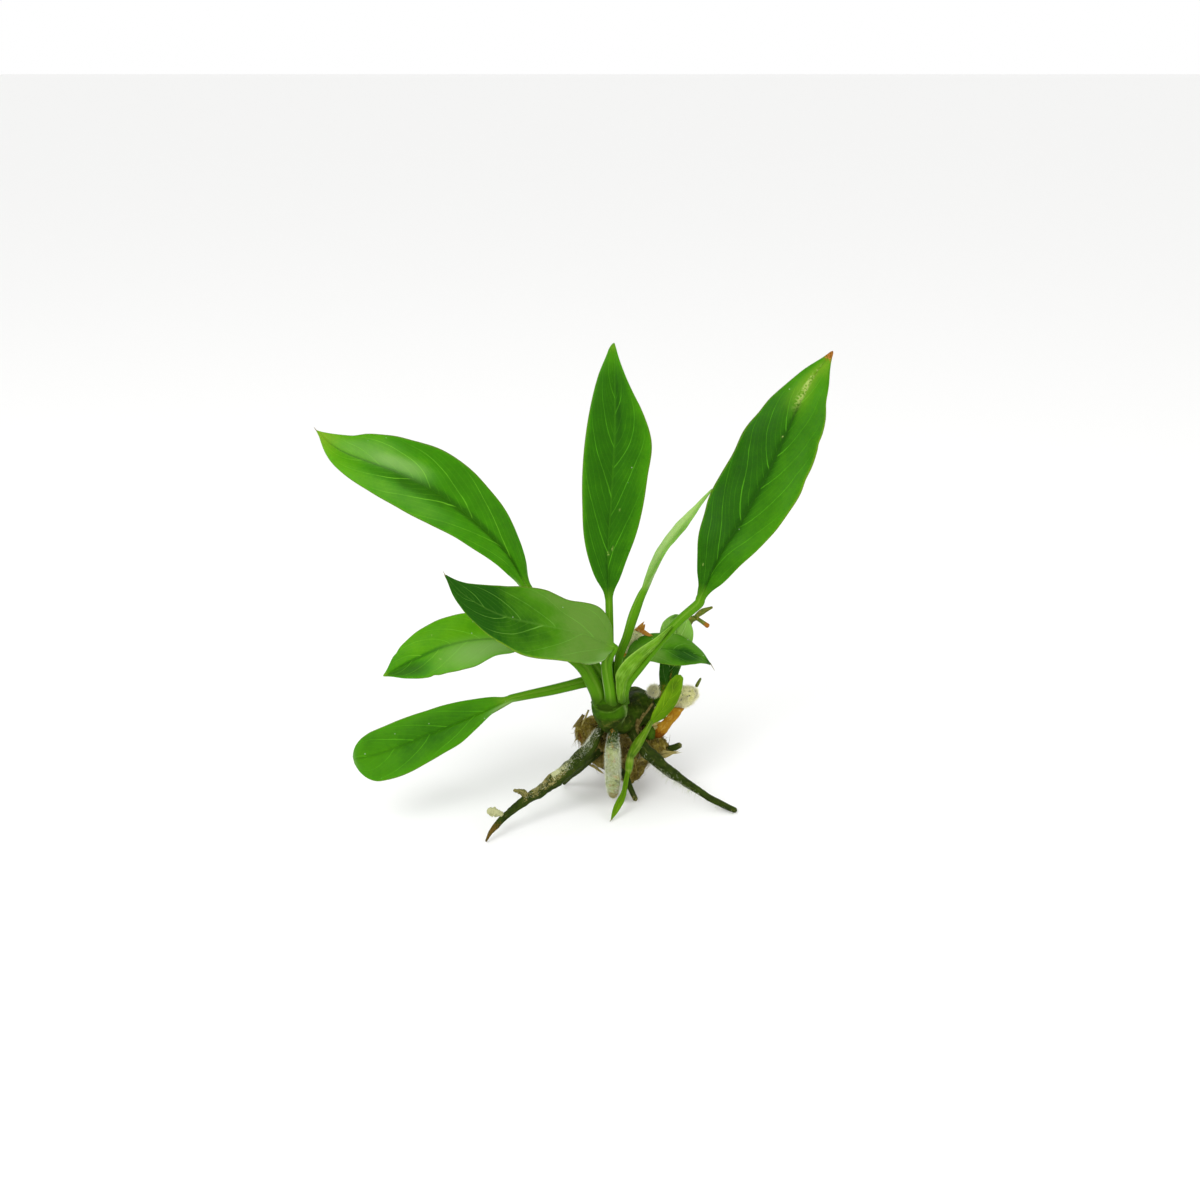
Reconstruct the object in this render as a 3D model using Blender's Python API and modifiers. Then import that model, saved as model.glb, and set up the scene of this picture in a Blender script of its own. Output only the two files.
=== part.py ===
"""A narrow-leaved anubias with bare roots, as lifted from its tank, standing on its root tips.

One rhizome turns up into a crown at its front end. Nine leaves rise from the crown and the rhizome, each a
stalk and a blade. Roots of several ages, an old cut stalk, two dry stalks and a small side shoot grow from
the rhizome, and a clump of dead root fibre is caught under it.

The lists below are in millimetres, in the plant's own directions: x to the right, y to the back, z up,
measured from the ground under the crown. STAND moves them so that the middle of the plant's box is at
x = y = 0 and its lowest root tip at z = 0.
"""
import math

import bmesh
import bpy
from mathutils import Vector, noise

MM = 0.001
STAND = (14.1, -6.0, -0.27)

# The plant's leading sizes
CLEARANCE = 0.3
BLADE_THICKNESS = 0.8
BLADE_ROWS = 14
BLADE_COLUMNS = 4
STALK_SPACING = 4.0
ROOT_SPACING = 6.0
SHOOT_SPACING = 3.0

# Each leaf: the stalk's centre line and its radius at crown and blade, the blade's midrib, half widths of the
# blade to the left and right of the midrib at equal steps from base to tip, and the way its upper face looks.
LEAVES = {
    "upper_left_leaf": dict(
        stalk=[(-0.4, 0.2, 44.9), (-0.6, 0.3, 47.2), (-4.4, 1.5, 51.8), (-8.4, 3, 57.3), (-15.3, 4, 65.5),
               (-24.3, 5, 76.5)],
        stalk_radii=(2.0, 1.8, 1.6, 1.4, 1.3),
        midrib=[(-31, 5, 84), (-38.5, 6, 97.5), (-54.5, 8, 112.5), (-73, 10, 124), (-96, 13, 132.5),
                (-105.5, 15, 140)],
        left=(1.2, 5.2, 8.4, 10.3, 12.3, 12.6, 10, 5.2, 0.3),
        right=(1.2, 5.2, 10.2, 12.9, 14.8, 14.2, 11.4, 6.7, 0.3),
        face=(0.25, -0.8, 0.55), fold=0.3, ripple=0.5, green="5D9A1E"),
    "centre_leaf": dict(
        stalk=[(-1.2, 4.8, 44.4), (-1, 4.6, 48), (-0.8, 4.3, 58), (-0.8, 4.4, 68)],
        stalk_radii=(1.7, 1.6, 1.5, 1.4),
        midrib=[(-1, 5, 78.6), (-1.4, 8, 97), (-0.3, 11, 115), (0.8, 15, 136), (1, 19, 155), (0.8, 23, 169.7)],
        left=(1.3, 5.8, 8.9, 10.3, 10.9, 10.5, 8.9, 5.8, 0.3),
        right=(1.3, 5.5, 9.4, 11.5, 12.6, 13.4, 9.5, 3.8, 0.3),
        face=(0, -0.97, 0.2), fold=0.15, ripple=0.4, green="3C7A0C"),
    "right_leaf": dict(
        stalk=[(3.9, -2.6, 45.2), (4.6, -3.4, 48), (9.5, -5, 56.6), (13.7, -5, 62.5), (18.7, -4.5, 68.5),
               (24.8, -4, 75.2)],
        stalk_radii=(2.3, 2.2, 2.1, 1.8, 1.6, 1.5),
        midrib=[(32, -3, 82.8), (38.5, -2, 99), (45.5, 0, 110), (56, 3, 130), (68, 8.5, 156.5), (77.2, 14, 168.6)],
        left=(1.4, 6.6, 12.3, 15.1, 14.6, 14, 10.6, 5.1, 0.4),
        right=(1.4, 6.9, 10.4, 13.4, 14.4, 13.4, 11.8, 6.7, 0.4),
        face=(-0.35, -0.85, 0.35), fold=0.25, ripple=0.6, green="3F8209"),
    "front_leaf": dict(
        stalk=[(-0.3, -4.6, 44.5), (-0.2, -5.1, 48), (-1.1, -6.4, 55), (-1.2, -7.7, 60)],
        stalk_radii=(1.9, 1.8, 1.8, 1.7),
        midrib=[(-0.4, -9, 65), (-10, -14, 73), (-23.5, -20, 78.6), (-38.7, -27, 85.3), (-50, -33, 94.5),
                (-56.2, -37, 103.4)],
        left=(2.2, 9.8, 11.8, 12.2, 12.6, 9.6, 6, 2.5, 0.3),
        right=(2.2, 11.6, 11.8, 12.9, 12.9, 10.9, 7.4, 3.4, 0.3),
        face=(-0.1, -0.75, 0.65), fold=0.1, ripple=0.5, green="3F7A22"),
    "left_leaf": dict(
        stalk=[(-4.2, -2.2, 45), (-4.8, -2.8, 47.4), (-9.2, -3.8, 54), (-14.4, -3.7, 59.3), (-22.4, -3.6, 63.4)],
        stalk_radii=(2.3, 2.3, 2.1, 1.7, 1.4),
        midrib=[(-29, -4, 66), (-44, -7, 68.6), (-58, -10, 67.4), (-70.5, -13, 63), (-81.6, -15, 57.6)],
        left=(1.2, 4.9, 6.9, 9.8, 10.5, 10, 8.4, 5, 0.3),
        right=(1.2, 5.6, 8.6, 10, 10.3, 9.6, 7.9, 4.9, 0.3),
        face=(0.1, -0.75, 0.65), fold=0.3, ripple=0.4, green="5FA826"),
    "low_left_leaf": dict(
        stalk=[(-4.4, 2.4, 45.7), (-4.8, 2.6, 47), (-9.6, 2, 49.2), (-14.2, -0.6, 48.5), (-24.3, -5, 47.2)],
        stalk_radii=(1.8, 1.8, 1.8, 1.7, 1.5),
        midrib=[(-36.6, -9, 46.5), (-46.6, -12, 42.3), (-64.4, -17, 36.3), (-81.2, -22, 31.1), (-91.6, -25, 29.4)],
        left=(1.4, 2, 4.6, 7.4, 8.6, 9.7, 10.1, 9, 3),
        right=(1.4, 4.2, 6.3, 7.7, 8.4, 9, 8.7, 7, 3),
        face=(0.1, -0.8, 0.6), fold=0.2, ripple=0.2, green="3F8A0C"),
    "narrow_leaf": dict(
        stalk=[(4.5, 2.2, 44.5), (4.3, 2.6, 47.4), (2.6, 4.6, 56), (4.6, 5.4, 63.6), (7.2, 6.2, 69.5),
               (10, 7.4, 77)],
        stalk_radii=(1.7, 1.8, 1.9, 1.9, 1.6, 1.4),
        midrib=[(11.9, 8, 82.6), (14.7, 9.5, 88.6), (20, 11.5, 97.7), (28.5, 14.5, 107.8), (36.3, 17, 117.6)],
        left=(1.3, 1.7, 2.3, 2.8, 3, 2.8, 2.2, 1.3, 0.3),
        right=(1.3, 1.9, 2.8, 3.6, 4, 3.8, 3, 1.6, 0.3),
        face=(-0.62, -0.35, 0.66), fold=0.5, ripple=0.2, green="6DB53A"),
    "small_right_leaf": dict(
        stalk=[(2.2, 5.6, 44.5), (2.4, 6.4, 47), (3.2, 8.2, 50.6)],
        stalk_radii=(1.2, 1.2, 1.1),
        midrib=[(4.8, 8.4, 54.4), (10.5, 8.6, 57.6), (17.9, 9.6, 58.2), (25.4, 11, 56.9), (32.2, 13, 54),
                (37.3, 15, 49.6)],
        left=(1.1, 4.4, 6.6, 7.4, 7.6, 7, 5.2, 2.6, 0.3),
        right=(1.1, 4.2, 5.6, 7.4, 7.8, 6.8, 5, 2.4, 0.3),
        face=(0, -0.5, 0.85), fold=0.15, ripple=0.2, green="4A7F35"),
    "small_back_leaf": dict(
        stalk=[(14.6, 17.6, 38.4), (15.6, 17, 39.4), (17, 16.6, 40.4)],
        stalk_radii=(1.3, 1.3, 1.2),
        midrib=[(18.2, 16.6, 41.6), (19.8, 17.4, 44.6), (22.8, 19.4, 50.2), (24.6, 21.4, 57.3), (24.3, 22.6, 61.8),
                (22.4, 23.8, 66.8)],
        left=(1.2, 3, 4.6, 5.6, 6.2, 6.4, 5.8, 4.2, 0.8),
        right=(1.2, 2.2, 3.4, 4.4, 5.2, 5.8, 5.8, 4.4, 0.8),
        face=(0, -0.9, 0.4), fold=0.2, ripple=0.2, green="4E9A2C"),
}

# The side shoot: its stem, the leaf above its node and the leaf that hangs below it.
SHOOT_LEAVES = {
    "shoot_upper_leaf": dict(
        midrib=[(14.5, -2, 33.4), (17.7, -1.5, 40.5), (22.1, -0.5, 46.9), (25.7, 0.5, 51.6)],
        left=(0.9, 2.2, 3.1, 3.4, 2.6, 0.5), right=(0.9, 1.9, 2.9, 3.3, 2.6, 0.5),
        face=(0.2, -0.9, 0.3), fold=0.25, ripple=0.1, green="7DA80A"),
    "shoot_lower_leaf": dict(
        midrib=[(6, -3.7, 13.7), (5.3, -6, 11.6), (4.2, -10, 8.2), (1.6, -13.6, 4.3), (-0.1, -16.2, 1)],
        left=(0.9, 0.9, 1.2, 1.5, 1.1, 0.2), right=(0.9, 0.9, 1.2, 1.5, 1.1, 0.2),
        face=(0.4, -0.9, 0.1), fold=0.4, ripple=0.1, green="6F9E0A"),
}
SHOOT_STEMS = {
    "shoot_stem": ([(14.2, -2.1, 33), (11.2, -1.4, 27.4), (8.9, 0.2, 22.9), (7.3, -1.4, 20.7)],
                   (0.9, 1.3, 1.9, 1.6)),
    "shoot_node": ([(6.8, -2.2, 19.8), (6.6, -2.4, 17.8), (6.4, -2.8, 15.9), (6.2, -3, 14.4)],
                   (1.2, 1.7, 1.6, 1.0)),
}

# The sheath that wraps the right leaf's stalk, from the crown to its free tip.
SHEATH = [(2.9, -5.9, 44.5), (3.2, -7.6, 49.4), (5, -8.4, 54.4), (8.4, -8.7, 59.8), (12.6, -8.4, 64.7),
          (16.5, -7.6, 68.7), (20.8, -6.5, 72.5)]
SHEATH_RADII = (0.6, 1.2, 1.5, 1.5, 1.3, 0.9, 0.4)

# The rhizome's centre line from the top of the crown to the cut end at the back, with its radius at each
# point. The radius drops at the crown's scar ring and at the rings that old leaves left.
RHIZOME = [
    ((0, 0, 44), 6.7), ((0, 0, 41.6), 6.7), ((0, 0.1, 40.6), 6.1), ((0, 0.3, 39.6), 6.5), ((0, 1, 36), 6.3),
    ((1, 3, 32.4), 5.4), ((4.2, 6.4, 30.6), 5.2), ((8, 10.5, 31.8), 5.7), ((10.6, 14.5, 32.8), 6.0),
    ((10.6, 19, 32), 5.3), ((9, 24, 30.6), 5.8), ((7.4, 29, 29), 5.2), ((5.8, 34, 27), 5.7),
    ((4.6, 38.5, 25.2), 5.2), ((4, 42, 24), 5.3),
]
# Buds and knobs grown on the rhizome: centre, and half sizes across, front to back and up.
RHIZOME_LUMPS = [
    ((14.6, 8.6, 24.8), (2.4, 2.6, 3.2)),
    ((13.6, 11.4, 30.4), (3.2, 3.0, 4.2)),
    ((17.6, 10.4, 30.6), (3.0, 1.3, 1.3)),
    ((14, 13.4, 37), (2.4, 2.2, 2.0)),
    ((2.6, 30, 33.2), (2.4, 3.0, 2.0)),
    ((-0.6, 37, 26), (2.0, 2.4, 2.6)),
]

# Roots: centre line and radius at each point, from the rhizome outwards. The first point of each is inside
# the rhizome or the clump, and the root starts at their surface.
ROOTS = {
    "left_root": ([(-3.4, 1.8, 31.2), (-5.4, -0.8, 28.2), (-8.7, -4.6, 24.2), (-14.6, -9.5, 19.9),
                   (-20.2, -13, 16.8), (-26, -17, 13.6), (-32.5, -21.5, 11), (-38.5, -26, 7.7),
                   (-43, -30.2, 4.4), (-45.2, -33, 0.9)],
                  (1.8, 2.7, 3.2, 3.4, 3.2, 2.7, 2.2, 1.8, 1.3, 0.5), "3B4A1A"),
    "left_root_nub": ([(-40.9, -27, 9.3), (-44.6, -27.3, 9.4)], (1.2, 1.3), "B9A878"),
    "left_root_spur": ([(-32.4, -19.6, 14.2), (-35.8, -19.8, 14.8)], (1.1, 0.6), "8A8158"),
    "left_branch_root": ([(-3.6, 4.6, 19.6), (-8.4, 2.4, 15.8), (-12.6, 6, 10.5), (-15.7, 10, 5.6),
                          (-18.3, 13, 1.2)], (1.2, 1.2, 1.3, 1.1, 0.8), "26300F"),
    "right_root": ([(6.4, 7.6, 28.6), (10.8, 3.4, 22.6), (15.2, 2.5, 17.9), (20.1, 1.5, 13.5),
                    (25.9, -0.5, 9.8), (32.4, -3, 6.4), (37.5, -5.5, 3.9), (43.3, -8, 1.9), (46.6, -9.5, 1.1)],
                   (2.2, 2.4, 2.5, 2.4, 2.0, 1.5, 1.2, 1.1, 0.9), "2C3A10"),
    "front_root": ([(0.8, -1.4, 32.6), (0.5, -3.6, 27.6), (0.4, -4, 22), (0.5, -4, 15), (0.6, -3.8, 8),
                    (0.6, -3.4, 3.6)], (1.6, 2.5, 3.1, 3.1, 3.0, 1.9), "A9B48C"),
    "short_root": ([(3.6, 4.2, 12.6), (6.8, 1.2, 6), (9.4, -1.2, 1)], (1.1, 1.2, 0.9), "242C10"),
    "right_stub_root": ([(15.4, 13.6, 15), (22.3, 12, 16.4), (26.8, 12, 18.3)], (1.2, 1.2, 1.1), "34431C"),
    "fuzzy_right_root": ([(14, 13.6, 32.6), (18.4, 12.8, 33.2), (22.8, 12, 34.8), (26.4, 12, 37.4),
                          (29.6, 12, 38.9), (32.6, 12, 40)], (1.0, 1.3, 2.6, 4.0, 4.0, 2.4), "C9CFA8"),
    "fuzzy_root_point": ([(32.2, 12, 42.5), (33.4, 12, 45.4)], (0.7, 0.4), "6A5A34"),
    "fuzzy_back_root": ([(14.8, 13, 37.4), (15.6, 12.6, 39.6), (16, 12.6, 42)], (1.2, 2.0, 1.2), "C3CCA4"),
    "back_left_root": ([(3.6, 31, 26.6), (-0.6, 34, 20), (-5, 37.4, 13.4), (-9.6, 41, 5.6), (-12, 42.6, 1.1)],
                       (1.7, 1.8, 1.7, 1.4, 1.0), "2A3712"),
    "back_right_root": ([(7, 32, 26), (9.4, 35.4, 19.2), (12, 39, 14), (16.4, 45, 6), (19, 48.6, 1.2)],
                        (1.7, 1.8, 1.8, 1.5, 1.1), "2A3712"),
}

# Dead and dry stalks, as the roots are listed.
DRY_STALKS = {
    "old_cut_stalk": ([(18.1, 8.2, 24.9), (20.8, 7.6, 28.7), (23.4, 7, 31.9), (25.9, 6.4, 35.2)],
                      (1.2, 1.3, 1.4, 1.5), "A96F1C"),
    "old_back_stalk": ([(4.8, 10.2, 33), (3.6, 12, 39.4), (3.8, 14.4, 48), (6, 15.6, 57), (9.6, 15.4, 63),
                        (11.8, 15, 66.4)], (1.2, 1.2, 1.1, 1.4, 2.0, 1.4), "B07A30"),
    "dry_twig": ([(12.4, 21, 33.6), (17.4, 22.8, 35.8), (20, 24.4, 38.5), (23.2, 26.2, 45), (27, 26.4, 55.5),
                  (29.8, 25.2, 63.6), (32, 24.2, 65.6)], (1.0, 1.0, 0.9, 0.9, 1.1), "6F8A34"),
    "dry_twig_upper_tip": ([(32.5, 24, 66.3), (38.2, 24, 69.3)], (0.9, 0.6), "8A7A3A"),
    "dry_twig_lower_tip": ([(33.1, 24, 64.5), (36.9, 24, 61.4)], (0.9, 0.9), "8C6A2C"),
}

# The roots and stalks that are trimmed where they leave the rhizome.
GROWN_FROM_RHIZOME = ("left_root", "right_root", "front_root", "fuzzy_right_root", "fuzzy_back_root",
                      "back_left_root", "back_right_root", "old_back_stalk", "dry_twig")

# The clump of dead fibre under the rhizome: its middle, its half sizes, and the tufts that stick out of it.
CLUMP_CENTRE = (3.6, 16, 18.6)
CLUMP_HALF = (14.8, 14.5, 12.5)
CLUMP_TUFTS = [((-1, -0.3, 0.5), 5.0), ((1, -0.25, -0.15), 5.0), ((0.3, -0.6, -1), 3.6),
               ((-0.7, 0.5, -0.6), 2.0)]
CLUMP_ROUGHNESS = 1.3
CLUMP_LUMP_SIZE = 8.0


def clear_scene():
    for item in list(bpy.data.objects):
        bpy.data.objects.remove(item, do_unlink=True)


def collection(name):
    group = bpy.data.collections.new(name)
    bpy.context.scene.collection.children.link(group)
    return group


def material(name, colour, roughness):
    """A plain finish for a piece, from its sRGB colour."""
    channels = [int(colour[i:i + 2], 16) / 255 for i in (0, 2, 4)]
    linear = [c / 12.92 if c <= 0.04045 else ((c + 0.055) / 1.055) ** 2.4 for c in channels]
    finish = bpy.data.materials.new(name)
    finish.use_nodes = True
    shader = finish.node_tree.nodes["Principled BSDF"]
    shader.inputs["Base Color"].default_value = (*linear, 1)
    shader.inputs["Roughness"].default_value = roughness
    shader.inputs["Metallic"].default_value = 0.0
    return finish


def smooth_path(points, steps):
    """A smooth curve through the points, read at equal steps along its length."""
    knots = [Vector(p) for p in points]
    knots = [2 * knots[0] - knots[1], *knots, 2 * knots[-1] - knots[-2]]
    fine = []
    for a, b, c, d in zip(knots, knots[1:], knots[2:], knots[3:]):
        for i in range(24):
            t = i / 24
            fine.append(0.5 * (2 * b + (c - a) * t + (2 * a - 5 * b + 4 * c - d) * t * t
                               + (3 * b - a - 3 * c + d) * t ** 3))
    fine.append(knots[-2])
    lengths = [0.0]
    for p, q in zip(fine, fine[1:]):
        lengths.append(lengths[-1] + (q - p).length)
    path, i = [], 0
    for k in range(steps + 1):
        goal = lengths[-1] * k / steps
        while i < len(fine) - 2 and lengths[i + 1] < goal:
            i += 1
        span = lengths[i + 1] - lengths[i]
        path.append(fine[i].lerp(fine[i + 1], (goal - lengths[i]) / span))
    return path


def between(values, t):
    """The value at t from 0 to 1 along a list of equally spaced values, on a smooth curve."""
    last = len(values) - 1
    i = min(int(t * last), last - 1)
    f = t * last - i
    b, c = values[i], values[i + 1]
    a, d = values[max(i - 1, 0)], values[min(i + 2, last)]
    return 0.5 * (2 * b + (c - a) * f + (2 * a - 5 * b + 4 * c - d) * f * f
                  + (3 * b - a - 3 * c + d) * f ** 3)


def add_object(name, data, group, finish, base):
    """Links an object whose data is measured from base, and hangs it on the plant's empty."""
    item = bpy.data.objects.new(name, data)
    item.data.materials.append(finish)
    item.location = Vector(base) * MM
    item.parent = bpy.data.objects["anubias"]
    group.objects.link(item)
    return item


def blade_point(spine, leaf, along, across):
    """A point of the blade: along from base to tip 0 to 1, across from the left to the right edge -1 to 1."""
    rows = len(spine) - 1
    row = round(along * rows)
    ahead, behind = spine[min(row + 1, rows)], spine[max(row - 1, 0)]
    forward = (ahead - behind).normalized()
    side = forward.cross(Vector(leaf["face"])).normalized()
    face = side.cross(forward)
    half = between(leaf["right"] if across > 0 else leaf["left"], along)
    wave = leaf["ripple"] * math.sin(2 * math.pi * (2.4 * along + 0.3 * across)) * across ** 2
    rise = leaf["fold"] * half * (abs(across) - 0.6 * across ** 2) + wave * math.sin(math.pi * along)
    return spine[row] + side * half * across + face * rise


def blade(name, leaf, rows, columns, group):
    """A leaf blade: a sheet bent over its midrib, given its thickness."""
    spine = smooth_path(leaf["midrib"], rows)
    base = spine[0].copy()
    sheet = bmesh.new()
    bmesh.ops.create_grid(sheet, x_segments=columns, y_segments=rows, size=0.5)
    for corner in sheet.verts:
        point = blade_point(spine, leaf, corner.co.y + 0.5, 2 * corner.co.x)
        corner.co = (point - base) * MM
    mesh = bpy.data.meshes.new(name)
    sheet.to_mesh(mesh)
    sheet.free()
    mesh.shade_smooth()
    item = add_object(name, mesh, group, material(name, leaf["green"], 0.4), base)
    wall = item.modifiers.new("thickness", "SOLIDIFY")
    wall.thickness = BLADE_THICKNESS * MM
    wall.offset = 0
    return item


def tube(name, points, radii, spacing, group, finish, extra=0.0, resolution=2):
    """A round stalk or root along a smooth curve, with its own radius at each point, larger by extra."""
    length = sum((Vector(q) - Vector(p)).length for p, q in zip(points, points[1:]))
    steps = max(3, round(length / spacing))
    path = smooth_path(points, steps)
    curve = bpy.data.curves.new(name, "CURVE")
    curve.dimensions = "3D"
    curve.bevel_depth = MM
    curve.bevel_resolution = resolution
    curve.use_fill_caps = True
    spline = curve.splines.new("POLY")
    spline.points.add(len(path) - 1)
    path[0] += (path[0] - path[1]).normalized() * extra
    path[-1] += (path[-1] - path[-2]).normalized() * extra
    for k, (knot, place) in enumerate(zip(spline.points, path)):
        knot.co = (*((place - path[0]) * MM), 1)
        knot.radius = between(radii, k / steps) + extra
    return add_object(name, curve, group, finish, path[0])


def as_mesh(item):
    """Turns a curve object into a closed mesh object of the same name."""
    bpy.context.view_layer.update()
    finished = item.evaluated_get(bpy.context.evaluated_depsgraph_get())
    mesh = bpy.data.meshes.new_from_object(finished)
    ends = bmesh.new()
    ends.from_mesh(mesh)
    bmesh.ops.remove_doubles(ends, verts=ends.verts, dist=0.001 * MM)
    ends.to_mesh(mesh)
    ends.free()
    name, group, base = item.name, item.users_collection[0], item.location / MM
    finish = item.data.materials[0]
    bpy.data.objects.remove(item, do_unlink=True)
    mesh.materials.clear()
    return add_object(name, mesh, group, finish, base)


def stalk_to_blade(leaf):
    """The stalk's points, with its end in line with the blade and a clearance short of it."""
    base, beyond = smooth_path(leaf["midrib"], BLADE_ROWS)[:2]
    forward = (beyond - base).normalized()
    return leaf["stalk"] + [base - forward * STALK_SPACING, base - forward * CLEARANCE]


def lump(name, centre, half, group, finish, extra=0.0, detail=2):
    """A rounded knob with its own half sizes."""
    ball = bmesh.new()
    bmesh.ops.create_icosphere(ball, subdivisions=detail, radius=MM)
    bmesh.ops.scale(ball, vec=Vector(half) + Vector((extra,) * 3), verts=ball.verts)
    mesh = bpy.data.meshes.new(name)
    ball.to_mesh(mesh)
    ball.free()
    return add_object(name, mesh, group, finish, centre)


def boolean(item, cutter, operation):
    cutter.hide_render = True
    cutter.display_type = "WIRE"
    step = item.modifiers.new(cutter.name, "BOOLEAN")
    step.operation = operation
    step.object = cutter


def rhizome(name, group, tools, finish, extra=0.0):
    """The rhizome with its crown, and the knobs and buds that grow on it."""
    points = [p for p, r in RHIZOME]
    radii = [r for p, r in RHIZOME]
    curve = bpy.data.curves.new(name, "CURVE")
    curve.dimensions = "3D"
    curve.bevel_depth = MM
    curve.bevel_resolution = 4
    curve.use_fill_caps = True
    spline = curve.splines.new("POLY")
    spline.points.add(len(points) - 1)
    for knot, place, radius in zip(spline.points, points, radii):
        knot.co = (*((Vector(place) - Vector(points[0])) * MM), 1)
        knot.radius = radius + extra
    body = as_mesh(add_object(name, curve, group, finish, points[0]))
    for k, (centre, half) in enumerate(RHIZOME_LUMPS, 1):
        boolean(body, lump(f"{name}_knob_{k}", centre, half, tools, finish, extra), "UNION")
    return body


def fibre_clump(name, group, tools, finish, rhizome_room):
    """The clump of dead fibre, hollowed where the rhizome and the roots run through it."""
    mass = bmesh.new()
    bmesh.ops.create_icosphere(mass, subdivisions=3, radius=1)
    for corner in mass.verts:
        way = corner.co.normalized()
        reach = Vector((way.x * CLUMP_HALF[0], way.y * CLUMP_HALF[1], way.z * CLUMP_HALF[2]))
        swell = CLUMP_ROUGHNESS * noise.noise(reach / CLUMP_LUMP_SIZE)
        for direction, length in CLUMP_TUFTS:
            swell += length * max(0, way.dot(Vector(direction).normalized())) ** 14
        corner.co = (reach + way * swell) * MM
    mesh = bpy.data.meshes.new(name)
    mass.to_mesh(mesh)
    mass.free()
    clump = add_object(name, mesh, group, finish, CLUMP_CENTRE)
    boolean(clump, rhizome_room, "DIFFERENCE")
    for root, (points, radii, _) in {**ROOTS, **DRY_STALKS}.items():
        room = as_mesh(tube(root + "_room", points, radii, ROOT_SPACING, tools, finish, CLEARANCE))
        boolean(clump, room, "DIFFERENCE")
    return clump


def main():
    clear_scene()
    plant = collection("anubias")
    tools = collection("cutters")
    stand = bpy.data.objects.new("anubias", None)
    stand.location = Vector(STAND) * MM
    plant.objects.link(stand)

    for name, leaf in LEAVES.items():
        blade(name + "_blade", leaf, BLADE_ROWS, BLADE_COLUMNS, plant)
        finish = material(name + "_stalk", leaf["green"], 0.45)
        tube(name + "_stalk", stalk_to_blade(leaf), leaf["stalk_radii"], STALK_SPACING, plant, finish)
    for name, leaf in SHOOT_LEAVES.items():
        blade(name, leaf, 8, 2, plant)
    shoot_green = material("shoot_green", "6F9E14", 0.45)
    for name, (points, radii) in SHOOT_STEMS.items():
        tube(name, points, radii, SHOOT_SPACING, plant, shoot_green)
    tube("right_leaf_sheath", SHEATH, SHEATH_RADII, STALK_SPACING, plant, material("sheath", "7DB93A", 0.45))

    skin = material("rhizome_skin", "3C5A16", 0.6)
    rhizome("rhizome", plant, tools, skin)
    rhizome_room = rhizome("rhizome_room", tools, tools, skin, CLEARANCE)
    for name, (points, radii, colour) in {**ROOTS, **DRY_STALKS}.items():
        piece = tube(name, points, radii, ROOT_SPACING, plant, material(name, colour, 0.7))
        if name in GROWN_FROM_RHIZOME:
            boolean(as_mesh(piece), rhizome_room, "DIFFERENCE")
    fibre_clump("fibre_clump", plant, tools, material("dead_fibre", "4A3518", 0.9), rhizome_room)


main()
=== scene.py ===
"""The looks of the anubias: leaves, shoot, rhizome, roots, dead fibre, and the studio round them.

The lists are in millimetres, in the plant's own directions: x to the right, y to the back, z up, measured
from the ground under the crown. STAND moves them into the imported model's frame.
"""

import math
from functools import partial

import bmesh
import bpy
import numpy as np
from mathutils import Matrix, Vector, noise


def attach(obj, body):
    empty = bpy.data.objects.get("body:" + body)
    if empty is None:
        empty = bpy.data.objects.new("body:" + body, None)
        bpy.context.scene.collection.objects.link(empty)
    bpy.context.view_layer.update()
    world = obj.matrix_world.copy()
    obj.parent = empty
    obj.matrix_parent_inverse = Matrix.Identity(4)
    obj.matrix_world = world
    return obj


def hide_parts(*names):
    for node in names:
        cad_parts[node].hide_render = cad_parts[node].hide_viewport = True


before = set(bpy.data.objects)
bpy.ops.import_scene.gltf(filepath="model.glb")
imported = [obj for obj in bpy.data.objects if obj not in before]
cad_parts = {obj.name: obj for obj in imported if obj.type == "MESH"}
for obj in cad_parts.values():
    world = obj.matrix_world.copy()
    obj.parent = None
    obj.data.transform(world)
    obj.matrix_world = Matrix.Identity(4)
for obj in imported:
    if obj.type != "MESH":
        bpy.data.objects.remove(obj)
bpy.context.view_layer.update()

MM = 0.001
STAND = np.array((14.1, -6.0, -0.27))

# The lowest that a hair or fibre may hang: just over the ground
GROUND = 0.3

# How finely the leaves are cut, in millimetres along them, and in columns from margin to margin
LEAF_STEP = 0.42
LEAF_COLUMNS = 52
STALK_STEP = 0.6

# The blade: its thickness beside the midrib, and how far the skin rises between its side veins
BLADE_THICKNESS = 0.5
VEIN_DEPTH = 0.1

# How far a stalk's foot goes down into the crown, and the height where the stalks are darkest at the foot
ROOTED_DEPTH = 4.0
FOOT_HEIGHT = 42.4

# The groove along the midrib, and how many slow and how many small waves the margin makes on its way
GROOVE_DEPTH = 0.3
GROOVE_WIDTH = 0.4
SLOW_WAVES = 2.4
SMALL_WAVES = 7.3

# A leaf's dry point: how far it is rooted in the leaf, and its half width and half depth there
POINT_ROOTED = 0.6
POINT_WIDTH = 0.24
POINT_DEPTH = 0.2

# How finely the rhizome's skin is cut, and which way a cut end of a stalk faces
RHIZOME_STEP = 0.28
CUT_SLANT = (0.03, 0.05, 1)

# How deep the clump's fibres are rooted in it, and half the thickness of a papery scale
FIBRE_ROOTED = 0.9
SCALE_THICKNESS = 0.07

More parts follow.
